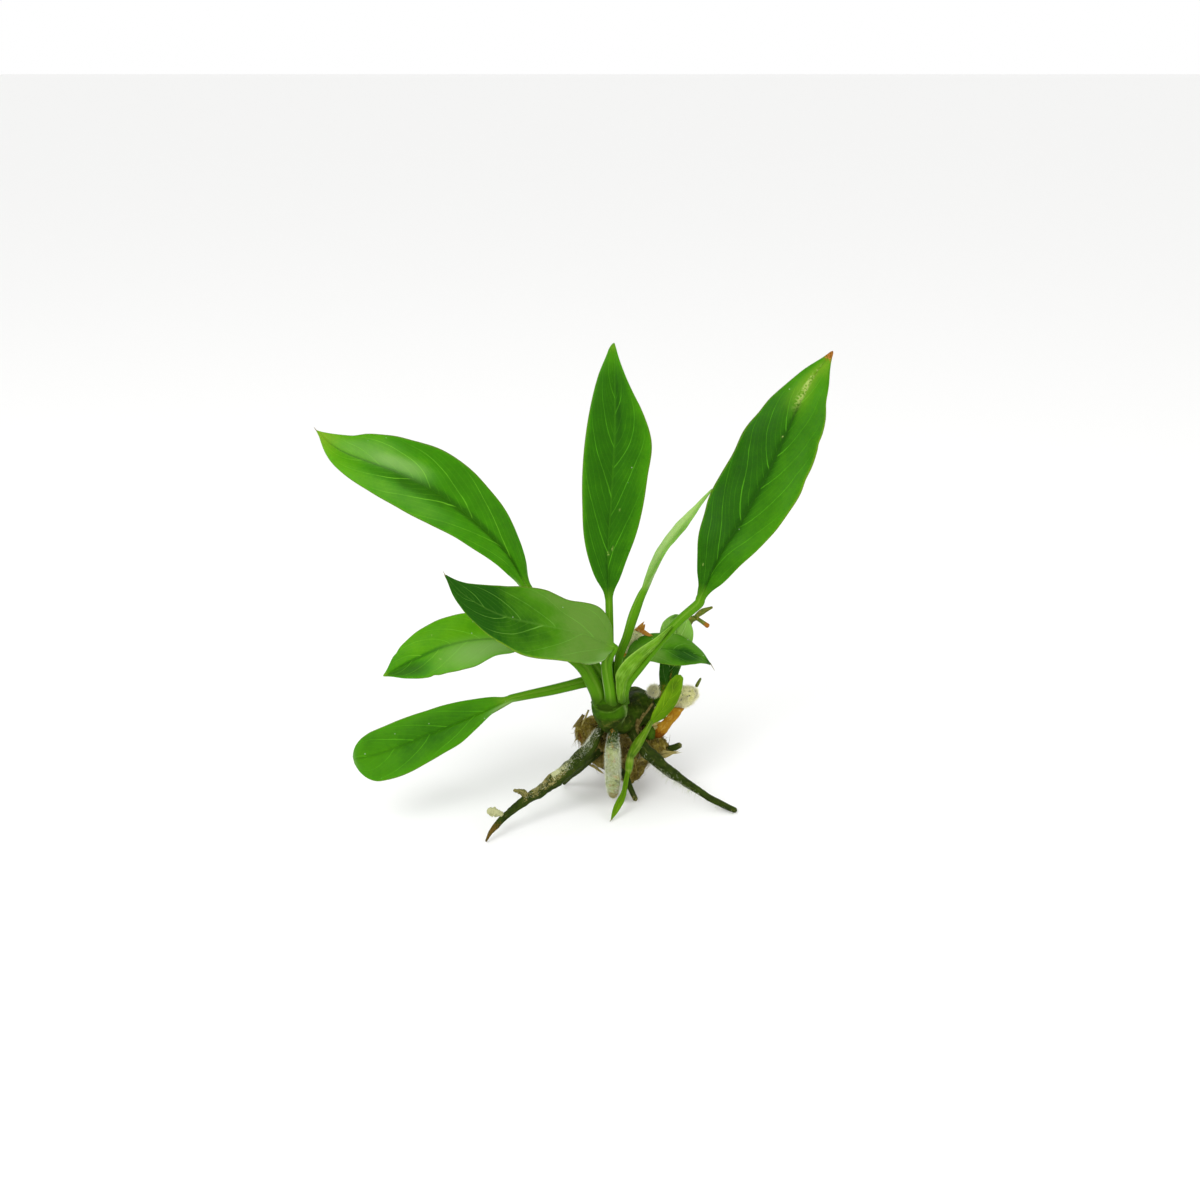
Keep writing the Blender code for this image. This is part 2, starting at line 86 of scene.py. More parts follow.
# Each leaf: the stalk's centre line and its radius at equal steps from crown to blade, the blade's midrib,
# half widths of the blade to the left and right of the midrib at equal steps from base to tip, and the way
# its upper face looks. foot is how much wider and deeper the stalk gets where it wraps the crown, and over
# what length. veins is the number of main side veins on each half, and crease how dark its midrib is as
# painted shade in its groove, or how light if below 0. marks are soft patches: what shows there, where
# across (-1 left margin, 1 right margin) and along (0 base, 1 tip, below 0 on the stalk), how far it
# spreads each way, and how strong it is. The light marks paint light and shade into the green: the shade
# of folds, of the valley along the midrib and of leaves that lie over others, and lit places, besides the
# leaf's own lighter and darker places. The pale marks are mostly painted satin highlights, with some pale
# rims and faces. nicks are dips in a margin: which margin, where along it, how wide and how deep.
# blunt and round_base are the shares of the blade's length over which its tip and its base are rounded.
LEAVES = {
    "upper_left_leaf": dict(
        stalk=[(-1.0, 0.4, 44.6), (-1.8, 0.6, 47.6), (-5.0, 1.5, 52.2), (-8.8, 3, 57.6), (-15.3, 4, 65.5),
               (-24.0, 5, 76)],
        stalk_radii=(2.8, 2.6, 2.2, 1.8, 1.7, 2.0), foot=(0.1, 0.1, 5),
        midrib=[(-30.6, 5, 83.4), (-38.5, 6, 97.5), (-54.5, 8, 112.5), (-73, 10, 124), (-96, 13, 132.5),
                (-105.5, 15, 140)],
        left=(2.0, 5.4, 8.4, 10.3, 12.3, 12.6, 10.4, 6.4, 0.3),
        right=(2.0, 5.4, 10.2, 12.9, 14.8, 14.2, 11.4, 7.4, 0.3), blunt=0.04,
        face=(0.25, -0.8, 0.55), fold=0.32, ripple=0.45, veins=5, crease=0.6, finish="bright_leaf",
        marks=[("light", 0, 1.04, 2.5, 0.3, 0.8), ("light", 0.3, 0.68, 0.3, 0.16, 0.5),
               ("light", -0.2, 0.6, 0.2, 0.17, -1.0), ("light", 0, 0.3, 0.13, 0.32, -1.2),
               ("light", 0.7, 0.3, 0.5, 0.35, -0.4), ("light", -0.75, 0.68, 0.3, 0.25, 0.3),
               ("pale", 0.22, 0.66, 0.2, 0.1, 0.35), ("pale", 0.35, 0.8, 0.4, 0.12, 0.16),
               ("pale", -0.65, 0.6, 0.3, 0.2, 0.08), ("yellow", 0, 1.0, 1.4, 0.08, 0.7),
               ("pale", -1, 0.01, 0.3, 0.05, 0.5), ("pale", 1, 0.03, 0.2, 0.05, 0.4)],
        nicks=[(1, 0.66, 0.05, 0.04), (1, 0.87, 0.04, 0.1), (1, 0.95, 0.03, -0.12)]),
    "centre_leaf": dict(
        stalk=[(-1.2, 4.8, 44.4), (-1, 4.6, 48), (-0.8, 4.3, 58), (-0.8, 4.4, 68)],
        stalk_radii=(2.2, 1.7, 1.5, 1.4), foot=(0.6, 0.2, 7),
        midrib=[(-1, 5, 78.6), (-1.4, 8, 97), (-0.3, 11, 115), (0.8, 15, 136), (1, 19, 155),
                (0.8, 23, 169.7)],
        left=(1.3, 5.8, 8.9, 10.3, 10.9, 10.5, 8.9, 6.0, 1.5), blunt=0.03,
        right=(1.3, 5.5, 9.4, 11.5, 12.6, 13.4, 9.5, 3.8, 0.3),
        face=(0, -0.97, 0.2), fold=0.15, ripple=0.4, veins=5, crease=-0.12, finish="dark_leaf",
        marks=[("light", 1, 0.62, 0.3, 0.5, 0.8), ("light", 0, 1, 2.5, 0.1, 0.8),
               ("light", -1, 0.5, 0.14, 0.5, 0.7), ("light", -0.35, 0.4, 0.6, 0.5, -0.3),
               ("light", 0.14, 0.74, 0.09, 0.14, -0.8), ("light", -0.06, 0.15, 0.12, 0.2, -0.5),
               ("yellow", 0, 1.0, 1.0, 0.03, 0.4), ("worn", 0.02, 0.19, 0.06, 0.006, 1.6),
               ("worn", 0.2, 0.21, 0.04, 0.007, 1.2), ("worn", 0.3, 0.364, 0.02, 0.003, 1.8)],
        nicks=[(1, 0.8, 0.04, 0.03)]),
    "right_leaf": dict(
        stalk=[(3.8, -2.4, 44.6), (4.4, -3.2, 48), (6.2, -4.2, 52), (9.5, -5, 56.8), (13.7, -5, 62.5),
               (18.7, -4.5, 68.5), (24.8, -4, 75.2)],
        stalk_radii=(2.4, 2.2, 2.1, 2.0, 1.8, 1.7, 1.8), foot=(0.1, 0.1, 5), neck=2,
        midrib=[(31.6, -3.1, 82.4), (38.5, -2, 99), (45.5, 0, 110), (56, 3, 130), (68, 8.5, 156.5),
                (77.2, 14, 168.6)],
        left=(1.9, 6.8, 12.3, 15.1, 14.6, 14, 10.6, 5.1, 0.5),
        right=(1.9, 6.9, 10.4, 13.4, 14.4, 13.4, 11.8, 6.9, 0.5),
        face=(-0.35, -0.85, 0.35), fold=0.25, ripple=0.7, veins=6, crease=0.9, finish="dark_leaf",
        marks=[("light", 0.6, 0.5, 0.5, 0.55, 0.45), ("light", -0.5, 0.35, 0.55, 0.5, -0.7),
               ("light", -0.5, 0.88, 0.7, 0.16, 1.0), ("light", 0, 0.4, 0.1, 0.45, -0.9),
               ("light", 0.95, 0.35, 0.3, 0.2, 0.5), ("yellow", 1.0, 0.62, 0.05, 0.2, 0.4),
               ("yellow", -0.12, 0.87, 0.42, 0.1, 0.42), ("light", 0.4, 0.9, 0.7, 0.14, 0.7),
               ("worn", -0.08, 0.845, 0.13, 0.07, 1.3), ("yellow", 0.5, 0.95, 0.4, 0.05, 0.4),
               ("dead", 0, 1.01, 2.5, 0.047, 1.3), ("worn", -0.05, 0.65, 0.014, 0.0025, 1.4),
               ("worn", -0.6, 0.12, 0.03, 0.004, 1.2)],
        nicks=[(1, 0.55, 0.03, 0.03), (-1, 0.7, 0.04, 0.03), (1, 0.82, 0.03, 0.04), (1, 0.68, 0.02, 0.025)]),
    "front_leaf": dict(
        stalk=[(-0.3, -4.3, 43.8), (-0.7, -4.9, 47.5), (-1.6, -6.2, 54), (-1.9, -7.2, 59),
               (-1.0, -8.0, 62.8)],
        stalk_radii=(2.3, 2.2, 2.1, 2.0, 1.9), foot=(0.12, 0.1, 5), neck=0,
        midrib=[(0.5, -8.9, 66), (-10, -14, 73.2), (-23.5, -20, 78.6), (-38.7, -27, 85.3), (-50, -33, 94.5),
                (-56.2, -37, 103.4)],
        left=(8.5, 10.4, 11.8, 12.2, 12.6, 9.9, 6.6, 3.2, 0.3),
        right=(8.5, 11.6, 11.8, 12.9, 12.9, 11.0, 7.8, 3.9, 0.3),
        face=(-0.1, -0.75, 0.65), fold=0.1, ripple=0.5, round_base=0.17, veins=5, crease=-0.2,
        finish="grey_leaf",
        marks=[("light", 0.1, 0.95, 3, 0.38, -1.7), ("light", -0.2, 0.42, 0.4, 0.14, -0.5),
               ("light", 0.4, 0.13, 2.2, 0.24, 1.0), ("light", 0.9, 0.4, 0.3, 0.3, 0.4),
               ("pale", -1.0, 0.04, 0.07, 0.1, 1.0), ("pale", -0.7, 0.03, 0.25, 0.05, 0.25),
               ("yellow", -1.0, 0.5, 0.03, 0.25, 0.7), ("pale", -0.62, -0.2, 0.16, 0.09, 0.9)],
        nicks=[(1, 0.28, 0.05, 0.05)]),
    "left_leaf": dict(
        stalk=[(-4.7, -2.0, 43.6), (-5.3, -2.2, 46), (-7.0, -2.8, 50.2), (-10, -3.5, 56), (-15, -3.7, 60.6),
               (-22.4, -3.6, 63.6)],
        stalk_radii=(2.8, 2.9, 2.7, 2.3, 1.8, 1.4), foot=(0, 0, 5), neck=0,
        midrib=[(-29, -4, 66), (-44, -7, 68.6), (-58, -10, 67.4), (-70.5, -13, 63), (-81.6, -15, 57.6)],
        left=(1.2, 4.9, 6.9, 9.8, 10.5, 10, 8.4, 5, 0.3),
        right=(1.2, 5.6, 8.6, 10, 10.3, 9.6, 7.9, 4.9, 0.3),
        face=(0.1, -0.75, 0.65), fold=0.3, ripple=0.4, veins=5, crease=0.35, finish="bright_leaf",
        marks=[("light", -0.45, 0.86, 0.4, 0.15, -1.6), ("light", 0, 0.35, 3, 0.6, 0.8),
               ("light", -0.4, 0.3, 0.6, 0.3, 0.4), ("light", 0, 0.75, 0.08, 0.2, -0.8),
               ("pale", -0.5, 0.3, 0.5, 0.3, 0.42), ("yellow", 0, 1.0, 1.0, 0.03, 0.6),
               ("worn", -0.4, 0.62, 0.035, 0.006, 1.1), ("worn", 0.55, 0.62, 0.03, 0.006, 1.1)],
        nicks=[(1, 0.86, 0.02, 0.06), (-1, 0.7, 0.02, 0.05)]),
    "low_left_leaf": dict(
        stalk=[(-4.6, 2.4, 45.2), (-6.4, 2.2, 47.6), (-9.6, 1.5, 48.4), (-15.7, -0.4, 47.6),
               (-22.2, -3.2, 47.1), (-29.7, -6.2, 46.7)],
        stalk_radii=(2.3, 2.2, 2.0, 1.9, 1.7, 1.5), foot=(0.1, 0.1, 4), neck=0,
        midrib=[(-36.4, -8.7, 46.2), (-46.6, -12, 42.3), (-64.4, -17, 36.3), (-81.2, -22, 31.1),
                (-92.2, -25, 29.4)],
        left=(1.3, 1.8, 4.6, 7.4, 8.6, 9.7, 10.4, 9.9, 8.9),
        right=(1.3, 4.2, 6.3, 7.7, 8.4, 9, 8.9, 8.4, 7.4),
        face=(0.1, -0.8, 0.6), fold=0.2, ripple=0.2, blunt=0.13, veins=4, crease=0.25, finish="dark_leaf",
        marks=[("light", 0.05, 0.4, 0.5, 0.35, -0.4), ("light", 0, 0.6, 3, 0.9, 0.55),
               ("light", -1, 0.5, 0.25, 0.4, 0.7), ("light", 0, 1.0, 3, 0.07, 0.7),
               ("light", 0, -0.1, 3, 0.3, 1.2), ("light", 0.9, 0.5, 0.2, 0.5, 0.5),
               ("pale", -0.8, 0.06, 0.5, 0.1, 0.4), ("yellow", 0, -0.02, 3, 0.1, 0.5),
               ("pale", 0, 1.02, 3, 0.03, 0.4), ("light", -0.3, 0.85, 0.6, 0.12, 0.5)],
        nicks=[(1, 0.9, 0.03, 0.03)]),
    "narrow_leaf": dict(
        stalk=[(3.4, 2.0, 43.6), (2.8, 2.8, 48), (2.3, 3.5, 52.4), (2.9, 4.4, 57.9), (5.4, 5.4, 64.4),
               (7.6, 6.2, 71.7)],
        stalk_radii=(2.2, 1.8, 1.6, 1.7, 1.9, 1.5), foot=(0.3, 0.2, 6),
        midrib=[(11.4, 7.8, 81.4), (14.7, 9.5, 88.6), (20, 11.5, 97.7), (28.5, 14.5, 107.8),
                (36.3, 17, 117.6)],
        left=(1.3, 1.9, 2.6, 3.1, 3.2, 2.9, 2.2, 1.3, 0.3),
        right=(1.3, 1.9, 2.8, 3.6, 4, 3.8, 3, 1.6, 0.3),
        face=(-0.62, -0.35, 0.66), fold=0.7, ripple=0.2, veins=4, crease=0.9, finish="pale_leaf",
        marks=[("pale", -0.5, 0.5, 0.5, 0.35, 0.5), ("light", 0, 0.6, 3, 0.5, 0.5),
               ("light", 0.7, 0.4, 0.4, 0.4, -0.5), ("yellow", 0.2, 0.0, 0.5, 0.15, 0.5),
               ("light", -0.4, 0.7, 0.6, 0.3, 0.5)]),
    "small_right_leaf": dict(
        stalk=[(2.4, 5.4, 44.5), (2.6, 6.4, 47), (3.2, 8.0, 50.6)],
        stalk_radii=(1.8, 1.5, 1.1), foot=(0.4, 0.2, 6),
        midrib=[(4.8, 8.4, 54.4), (10.5, 8.6, 57.6), (17.9, 9.6, 58.2), (25.4, 11, 56.9), (32.2, 13, 54),
                (37.3, 15, 49.8)],
        left=(1.1, 4.4, 6.6, 7.4, 7.6, 7, 5.4, 3.0, 0.3),
        right=(1.1, 4.2, 5.6, 7.4, 7.8, 6.8, 5, 2.4, 0.3),
        face=(0, -0.5, 0.85), fold=0.15, ripple=0.2, veins=4, crease=0.3, finish="grey_leaf",
        marks=[("light", 0.25, 0.64, 0.55, 0.2, -1.6), ("light", -0.4, 0.8, 0.8, 0.12, 0.3),
               ("light", 0.1, 0.3, 1.0, 0.3, 0.9), ("light", 0, 0.99, 2.5, 0.07, -1.4),
               ("light", -0.8, 0.25, 0.6, 0.2, -0.6)]),
    "small_back_leaf": dict(
        stalk=[(15.2, 17.6, 33.6), (17.8, 17.2, 36.2), (20.2, 17, 38.6)],
        stalk_radii=(2.0, 2.6, 3.0), foot=(0, 0, 4), neck=1,
        midrib=[(21.2, 16.9, 41), (21.7, 17.4, 45.4), (22.9, 19.4, 50.2), (24.4, 21.4, 57.3),
                (24.5, 22.6, 61.8), (24.3, 23.8, 66.6)],
        left=(3.0, 3.6, 4.1, 4.9, 6.0, 6.5, 6.4, 5.4, 3.8),
        right=(3.0, 3.5, 3.8, 4.4, 5.4, 6.1, 6.3, 5.4, 3.8),
        face=(0, -0.9, 0.4), fold=0.2, ripple=0.2, blunt=0.12, veins=4, crease=0.5, finish="pale_leaf",
        marks=[("light", -0.4, 0.06, 2.4, 0.2, -2.4), ("light", 0, 0.8, 3, 0.45, 0.1),
               ("dead", -0.2, -0.12, 3, 0.16, 0.45), ("dead", 0.25, 0.08, 0.16, 0.16, 0.4),
               ("light", 0, 0.98, 0.6, 0.05, -0.7), ("pale", 0.6, 0.62, 0.4, 0.016, 0.7)]),
}

# The side shoot: the leaf above its node and the leaf that hangs below it, its stem and its node.
SHOOT_LEAVES = {
    "shoot_upper_leaf": dict(
        midrib=[(14.7, -2, 33.6), (18.3, -1.5, 38.1), (20.3, -1, 41.3), (22, -0.5, 44.5), (23.4, -0.1, 47.8),
                (25.3, 0.5, 51.5)],
        left=(0.9, 2.3, 2.9, 3.2, 3.1, 2.7, 1.6), right=(0.9, 2.3, 2.9, 3.3, 3.1, 2.5, 1.3),
        face=(0.2, -0.9, 0.3), fold=0.25, ripple=0.1, blunt=0.04, veins=3, crease=-0.25,
        marks=[("light", -0.2, 0.78, 0.6, 0.11, -1.3), ("light", 0.8, 0.4, 0.4, 0.3, -0.5),
               ("light", -0.9, 0.4, 0.3, 0.3, 0.5)]),
    "shoot_lower_leaf": dict(
        midrib=[(6.3, -3.2, 14.8), (5.3, -6, 11.6), (4.2, -10, 8.2), (1.6, -13.6, 4.3), (-0.1, -16.2, 1)],
        left=(0.95, 1.0, 1.1, 1.4, 1.6, 1.3, 0.25), right=(0.95, 1.0, 1.1, 1.4, 1.6, 1.3, 0.25),
        face=(0.4, -0.9, 0.1), fold=0.4, ripple=0.1, veins=3, crease=0.3,
        marks=[("light", 0, 0.3, 1.5, 0.3, -0.6)]),
}
SHOOT_STEMS = {
    "shoot_stem": ([(14.9, -2.0, 34.6), (13.2, -1.9, 31.0), (11.2, -1.4, 27.4), (8.9, -0.6, 22.9),
                    (7.1, -1.6, 19.6), (6.8, -2.3, 17.8)], (0.9, 1.0, 1.3, 1.65, 1.9, 1.6, 1.1)),
    "shoot_node": ([(7.3, -1.5, 21.4), (7.0, -2.0, 19.4), (6.7, -2.4, 17.6), (6.4, -2.9, 15.4),
                    (6.1, -3.4, 13.0)], (0.6, 1.35, 1.5, 1.35, 0.9)),
}

# The sheath that wraps the right leaf's stalk from the crown to its free tip: its free edge, and the line
# where it meets the front of the stalk.
SHEATH_EDGE = [(2.2, -5.4, 43.4), (1.6, -6.2, 47.6), (1.4, -6.8, 51.8), (1.5, -7.3, 55.6), (4.7, -7.9, 60.9),
               (10, -8.1, 65.6), (15.4, -7.6, 69.2), (20, -6.6, 72.7), (21.3, -6.3, 73.6)]
SHEATH_SEAM = [(5.0, -5.2, 43.0), (4.8, -5.9, 47.0), (5.8, -6.5, 51.3), (7.8, -7.0, 54.8), (11.0, -7.2, 59.4),
               (14.8, -7.0, 63.7), (18.1, -6.7, 67.8), (20.6, -6.3, 71.5), (21.6, -6.1, 73.1)]

# The rhizome's centre line from the top of the crown to the cut end at the back, with its radius at each
# point, and the buds and knobs grown on it: centre, and half sizes across, front to back and up.
RHIZOME = [
    ((-0.3, 0.2, 47), 4.4), ((-0.5, 0.2, 45), 5.7), ((-0.6, 0.2, 43), 6.35), ((-0.65, 0.1, 41), 6.7),
    ((-0.7, 0.2, 39), 6.75), ((-0.8, 0.4, 37), 6.4), ((-0.6, 0.9, 35), 5.7), ((0, 2, 33), 5.0),
    ((1.6, 4, 31.4), 4.7), ((4.2, 6.4, 30.9), 5.0), ((8, 10.5, 31.8), 5.7), ((10.6, 14.5, 32.8), 6.0),
    ((10.6, 19, 32), 5.3), ((9, 24, 30.6), 5.8), ((7.4, 29, 29), 5.2), ((5.8, 34, 27), 5.7),
    ((4.6, 38.5, 25.2), 5.2), ((4, 42, 24), 5.3),
]
GREEN_KNOB = np.array((14.4, 7.6, 24.8))
RHIZOME_LUMPS = [
    ((14.6, 8.6, 24.8), (2.4, 2.6, 3.2)),
    ((13.6, 11.4, 30.4), (3.2, 3.0, 4.2)),
    ((17.6, 10.4, 30.6), (3.0, 1.3, 1.3)),
    ((14, 13.4, 37), (2.4, 2.2, 2.0)),
    ((9.4, 7.6, 34.6), (2.6, 2.2, 2.4)),
    ((2.6, 30, 33.2), (2.4, 3.0, 2.0)),
    ((-0.6, 37, 26), (2.0, 2.4, 2.6)),
]

# The thin lip round the crown where a leaf came off: its height at each place across, at the front and at
# the back. Under it a shred of membrane runs up the front: where across it is, at each height.
LIP = ((-7.4, -5.2, -4.3, -1.4, 0.4, 1.6, 3.6, 6.4), (40.8, 40.2, 39.8, 39.8, 40.1, 40.6, 41.6, 42.2))
LIP_BEHIND = ((-7, 7), (40.7, 42.4))
MEMBRANE = ((33.8, 36, 39, 41), (3.9, 5.0, 5.3, 4.6))

# Roots: centre line and radii at equal steps, from the rhizome outwards.
ROOTS = {
    "left_branch_root": ([(-3.6, 4.6, 19.6), (-8.4, 2.4, 15.8), (-12.6, 6, 10.5), (-15.7, 10, 5.6),
                          (-18.3, 13, 1.2)], (1.2, 1.2, 1.3, 1.1, 0.8)),
    "right_root": ([(6.4, 7.6, 28.6), (10.8, 3.4, 22.6), (15.2, 2.5, 17.9), (20.1, 1.5, 13.5),
                    (25.9, -0.5, 9.8), (32.4, -3, 6.4), (37.5, -5.5, 3.9), (43.3, -8, 1.9),
                    (46.6, -9.5, 1.1)], (2.2, 2.3, 2.4, 2.3, 1.9, 1.5, 1.25, 1.2, 1.0)),
    "short_root": ([(3.6, 4.2, 12.6), (6.8, 1.2, 6), (9.4, -1.2, 1)], (1.1, 1.2, 0.9)),
    "right_stub_root": ([(15.4, 13.6, 15), (22.3, 12, 16.4), (26.8, 12, 18.3)], (1.2, 1.3, 1.3)),
    "back_left_root": ([(3.6, 31, 26.6), (-0.6, 34, 20), (-5, 37.4, 13.4), (-9.6, 41, 5.6), (-12, 42.6, 1.1)],
                       (1.7, 1.8, 1.7, 1.4, 1.0)),
    "back_right_root": ([(7, 32, 26), (9.4, 35.4, 19.2), (12, 39, 14), (16.4, 45, 6), (19, 48.6, 1.2)],
                        (1.7, 1.8, 1.8, 1.5, 1.1)),
    "left_root_nub": ([(-39.1, -26.0, 8.3), (-41.0, -27.0, 9.2), (-43.2, -27.2, 10.0), (-45.0, -27.3, 10.4)],
                      (0.8, 1.2, 1.7, 1.2)),
    "left_root_spur": ([(-30.3, -20.0, 11.4), (-32.4, -19.6, 13.9), (-35.8, -19.8, 14.8)], (1.3, 1.0, 0.4)),
    "left_root": ([(-3.4, 1.8, 31.2), (-5.4, -0.8, 28.2), (-8.7, -4.6, 24.2), (-14.6, -9.5, 19.9),
                   (-20.2, -13, 16.8), (-26, -17, 13.6), (-32.5, -21.5, 11), (-38.5, -26, 7.7),
                   (-43, -30.2, 4.4), (-45.2, -33, 0.9)],
                  (1.8, 2.7, 3.2, 3.4, 3.2, 2.7, 2.2, 1.8, 1.5, 0.5)),
    "front_root": ([(0.8, -1.4, 32.6), (0.5, -3.6, 27.6), (0.4, -4, 22), (0.5, -4, 15), (0.6, -3.8, 8),
                    (0.6, -3.4, 3.6)], (1.6, 2.5, 3.1, 3.1, 3.0, 1.9)),
    "fuzzy_right_root": ([(14, 13.6, 32.6), (18.4, 12.8, 33.2), (23, 12, 35.2), (26.8, 12, 37.8),
                          (29.6, 12, 39), (32.2, 12, 39.6)], (1.0, 1.3, 2.6, 4.2, 4.3, 2.9)),
    "fuzzy_back_root": ([(14.8, 13, 37.4), (15.6, 12.6, 39.6), (16, 12.6, 42)], (1.4, 2.2, 1.5)),
}

# Dead and dry stalks, as the roots are listed.
DRY_STALKS = {
    "old_cut_stalk": ([(16.4, 8.8, 23), (17.8, 8.3, 25.2), (20.6, 7.4, 29), (23, 6.9, 32.4),
                       (25.4, 6.4, 36.2), (26.4, 6.2, 38)], (2.3, 2.3, 1.95, 1.8, 1.85, 2.0)),
    "old_back_stalk": ([(4.8, 10.2, 33), (3.6, 12, 39.4), (3.8, 14.4, 48), (6, 15.6, 56), (8.6, 15.4, 60.6),
                        (10.2, 15.2, 63.4)], (1.2, 1.2, 1.2, 1.6, 2.3, 2.0)),
    "dry_twig": ([(12.4, 21, 33.6), (17.4, 22.8, 35.8), (20, 24.4, 38.5), (23.2, 26.2, 45), (27, 26.4, 55.5),
                  (29.8, 25.2, 63.2), (32, 24.2, 65.2)], (1.0, 1.0, 0.9, 1.0, 1.1)),
    "dry_twig_upper_tip": ([(31.4, 24.1, 65.2), (34, 24, 67.4), (38.2, 24, 69.5)], (0.9, 1.0, 0.45)),
    "dry_twig_lower_tip": ([(31.6, 24.1, 65.2), (33.8, 24, 63.8), (36.9, 24, 61.4)], (0.8, 0.8, 0.95)),
    "fuzzy_root_point": ([(31.6, 12, 41.8), (32.2, 12, 43), (33.5, 12, 45.7)], (0.7, 0.6, 0.35)),
}

# The clump of dead fibre under the rhizome: its middle, its half sizes, and the tufts that stick out of it.
CLUMP_CENTRE = np.array((3.6, 16, 18.6))
CLUMP_HALF = np.array((14.8, 14.5, 12.5))
CLUMP_TUFTS = [((-1, -0.3, 0.5), 5.0), ((1, -0.25, -0.15), 5.0), ((0.3, -0.6, -1), 3.6),
               ((-0.7, 0.5, -0.6), 2.0)]

# Torn papery scales and shreds that were placed one by one: start, way, length, half width, curl, and how
# pale.
SCALES = [
    ((15.4, 6.6, 37.6), (-0.55, -0.15, -0.8), 6.5, 0.45, (-0.5, -1.0, 0), 0.3),
    ((12.2, 4.6, 34.6), (-0.45, -0.4, -0.8), 6.0, 0.55, (0, -0.8, 0.3), 0.2),
    ((10.0, 3.2, 32.8), (-0.2, -0.2, -1.0), 5.5, 0.8, (0.6, -0.5, 0), 0.15),
    ((-8.6, 7.0, 34.8), (-0.3, -0.2, -0.9), 6.0, 0.35, (-0.8, -0.6, 0), 0.8),
    ((-10.4, 7.4, 32.6), (-0.5, 0, -0.9), 6.0, 0.7, (-1.2, 0.2, 0), 0.25),
    ((-12.9, 8.4, 24.8), (0, 0, -1.0), 3.0, 0.5, (-0.3, -0.2, 0), 0.4),
    ((14.6, 8.2, 28.4), (0.95, 0, 0.05), 4.6, 1.0, (0.2, -0.3, 0), 0.85),
    ((15.6, 7.4, 26.9), (0.9, 0, 0.25), 3.4, 0.6, (0, -0.3, 0), 0.9),
    ((17.4, 8.6, 17.2), (0.9, 0.1, -0.25), 6.0, 0.6, (0.6, -0.3, 0.8), 0.9),
    ((17.0, 7.8, 14.6), (0.95, 0.1, 0.1), 6.5, 0.8, (0.4, 0, 1.2), 0.8),
    ((18.6, 8.8, 16.0), (0.95, 0.1, -0.1), 7.0, 0.35, (0.4, 0, 0.6), 1.0),
    ((19.6, 9.4, 15.0), (1.0, 0.1, 0.15), 6.0, 0.3, (0, 0, 0.5), 1.0),
    ((-11.4, 4.4, 16.2), (0.75, -0.2, -0.5), 5.5, 0.6, (0.2, -0.3, -0.3), 0.7),
    ((-7.4, 2.6, 14.2), (0.7, -0.1, -0.5), 5.0, 0.5, (0.2, -0.3, -0.3), 0.75),
    ((8.6, 14.8, 60.4), (0.4, -0.1, 0.9), 6.6, 1.7, (0.9, -0.3, 0), 0.0),
    ((9.4, 14.4, 64.6), (0.75, -0.1, -0.45), 5.4, 1.0, (0.5, -0.4, 0), 0.0),
]

# Where the clump is black in the shade under the crown, and its rusty spot
CROWN_SHADE = np.array((-3.0, 2.0, 28.0))
RUSTY_SPOT = np.array((-13.0, 9.0, 22.8))

# The pale spot near the end of the right root, and the cream scab halfway down the left one
PALE_SPOT = np.array((41.2, -6.0, 2.7))
CREAM_SCAB = np.array((-20.6, -13.6, 19.6))

# The fine dry points at the leaf tips: the leaf, the way the point goes, and its length.
LEAF_POINTS = [
    ("upper_left_leaf", (-0.6, 0.1, 0.8), 1.2),
    ("front_leaf", (-0.3, -0.2, 0.9), 1.4),
    ("small_right_leaf", (0.5, 0, -0.85), 2.9),
    ("shoot_lower_leaf", (-0.6, -0.6, -0.4), 1.0),
]

# The studio, in metres: half the floor's side, each lamp's place, size and power, the spot that they light,
# and the camera with its tilt up from straight down
FLOOR_HALF = 6.0
LAMPS = [("key_light", (-0.4, -0.7, 0.75), 0.5, 5.0), ("fill_light", (0.6, -0.5, 0.45), 0.5, 1.0)]
LIT_SPOT = (0, 0, 0.08)
CAMERA_PLACE = (0.0098, -0.5698, 0.2859)
CAMERA_TILT = 70
LENS_MM = 50
SENSOR_MM = 36


def unit(ways):
    """Each way with the length 1."""
    return ways / np.linalg.norm(ways, axis=-1, keepdims=True)


def fade(value, start, end):
    """0 before start, 1 after end, and a soft step between."""
    t = np.clip((value - start) / (end - start), 0, 1)
    return t * t * (3 - 2 * t)


def bell(value, middle, spread):
    """1 at the middle, falling off softly over the spread."""
    return np.exp(-((value - middle) / spread) ** 2)


def patch(value, middle, spread):
    """A bell with a flatter top and clearer edges."""
    return np.exp(-np.abs((value - middle) / spread) ** 3)


def rounded(value, reach):
    """0 at 0 and 1 from reach on, with the outline of a quarter circle."""
    return np.sqrt(np.clip(1 - (1 - np.clip(value / np.maximum(reach, 1e-6), 0, 1)) ** 2, 0, 1))


def unevenness(points, size):
    """Soft random height from about -1 to 1 at each point, with lumps of that size."""
    return np.array([noise.noise(Vector(p)) for p in np.asarray(points) / size])


def cubic(a, b, c, d, t):
    """A smooth step from b to c, with the neighbours a and d, at t from 0 to 1."""
    return 0.5 * (2 * b + (c - a) * t + (2 * a - 5 * b + 4 * c - d) * t ** 2
                  + (3 * b - a - 3 * c + d) * t ** 3)


def smooth_line(points, steps):
    """A smooth curve through the points, read at equal steps along its length."""
    knots = np.array(points, float)
    knots = np.vstack((2 * knots[0] - knots[1], knots, 2 * knots[-1] - knots[-2]))
    t = np.linspace(0, 1, 48, endpoint=False)[:, None]
    spans = [cubic(*four, t) for four in zip(knots, knots[1:], knots[2:], knots[3:])]
    fine = np.vstack((*spans, knots[-2]))
    run = np.concatenate(([0], np.cumsum(np.linalg.norm(np.diff(fine, axis=0), axis=1))))
    goals = np.linspace(0, run[-1], steps + 1)
    return np.stack([np.interp(goals, run, fine[:, k]) for k in range(3)], axis=1)


def length_of(points):
    """The length of the line through the points."""
    return float(np.linalg.norm(np.diff(np.array(points, float), axis=0), axis=1).sum())


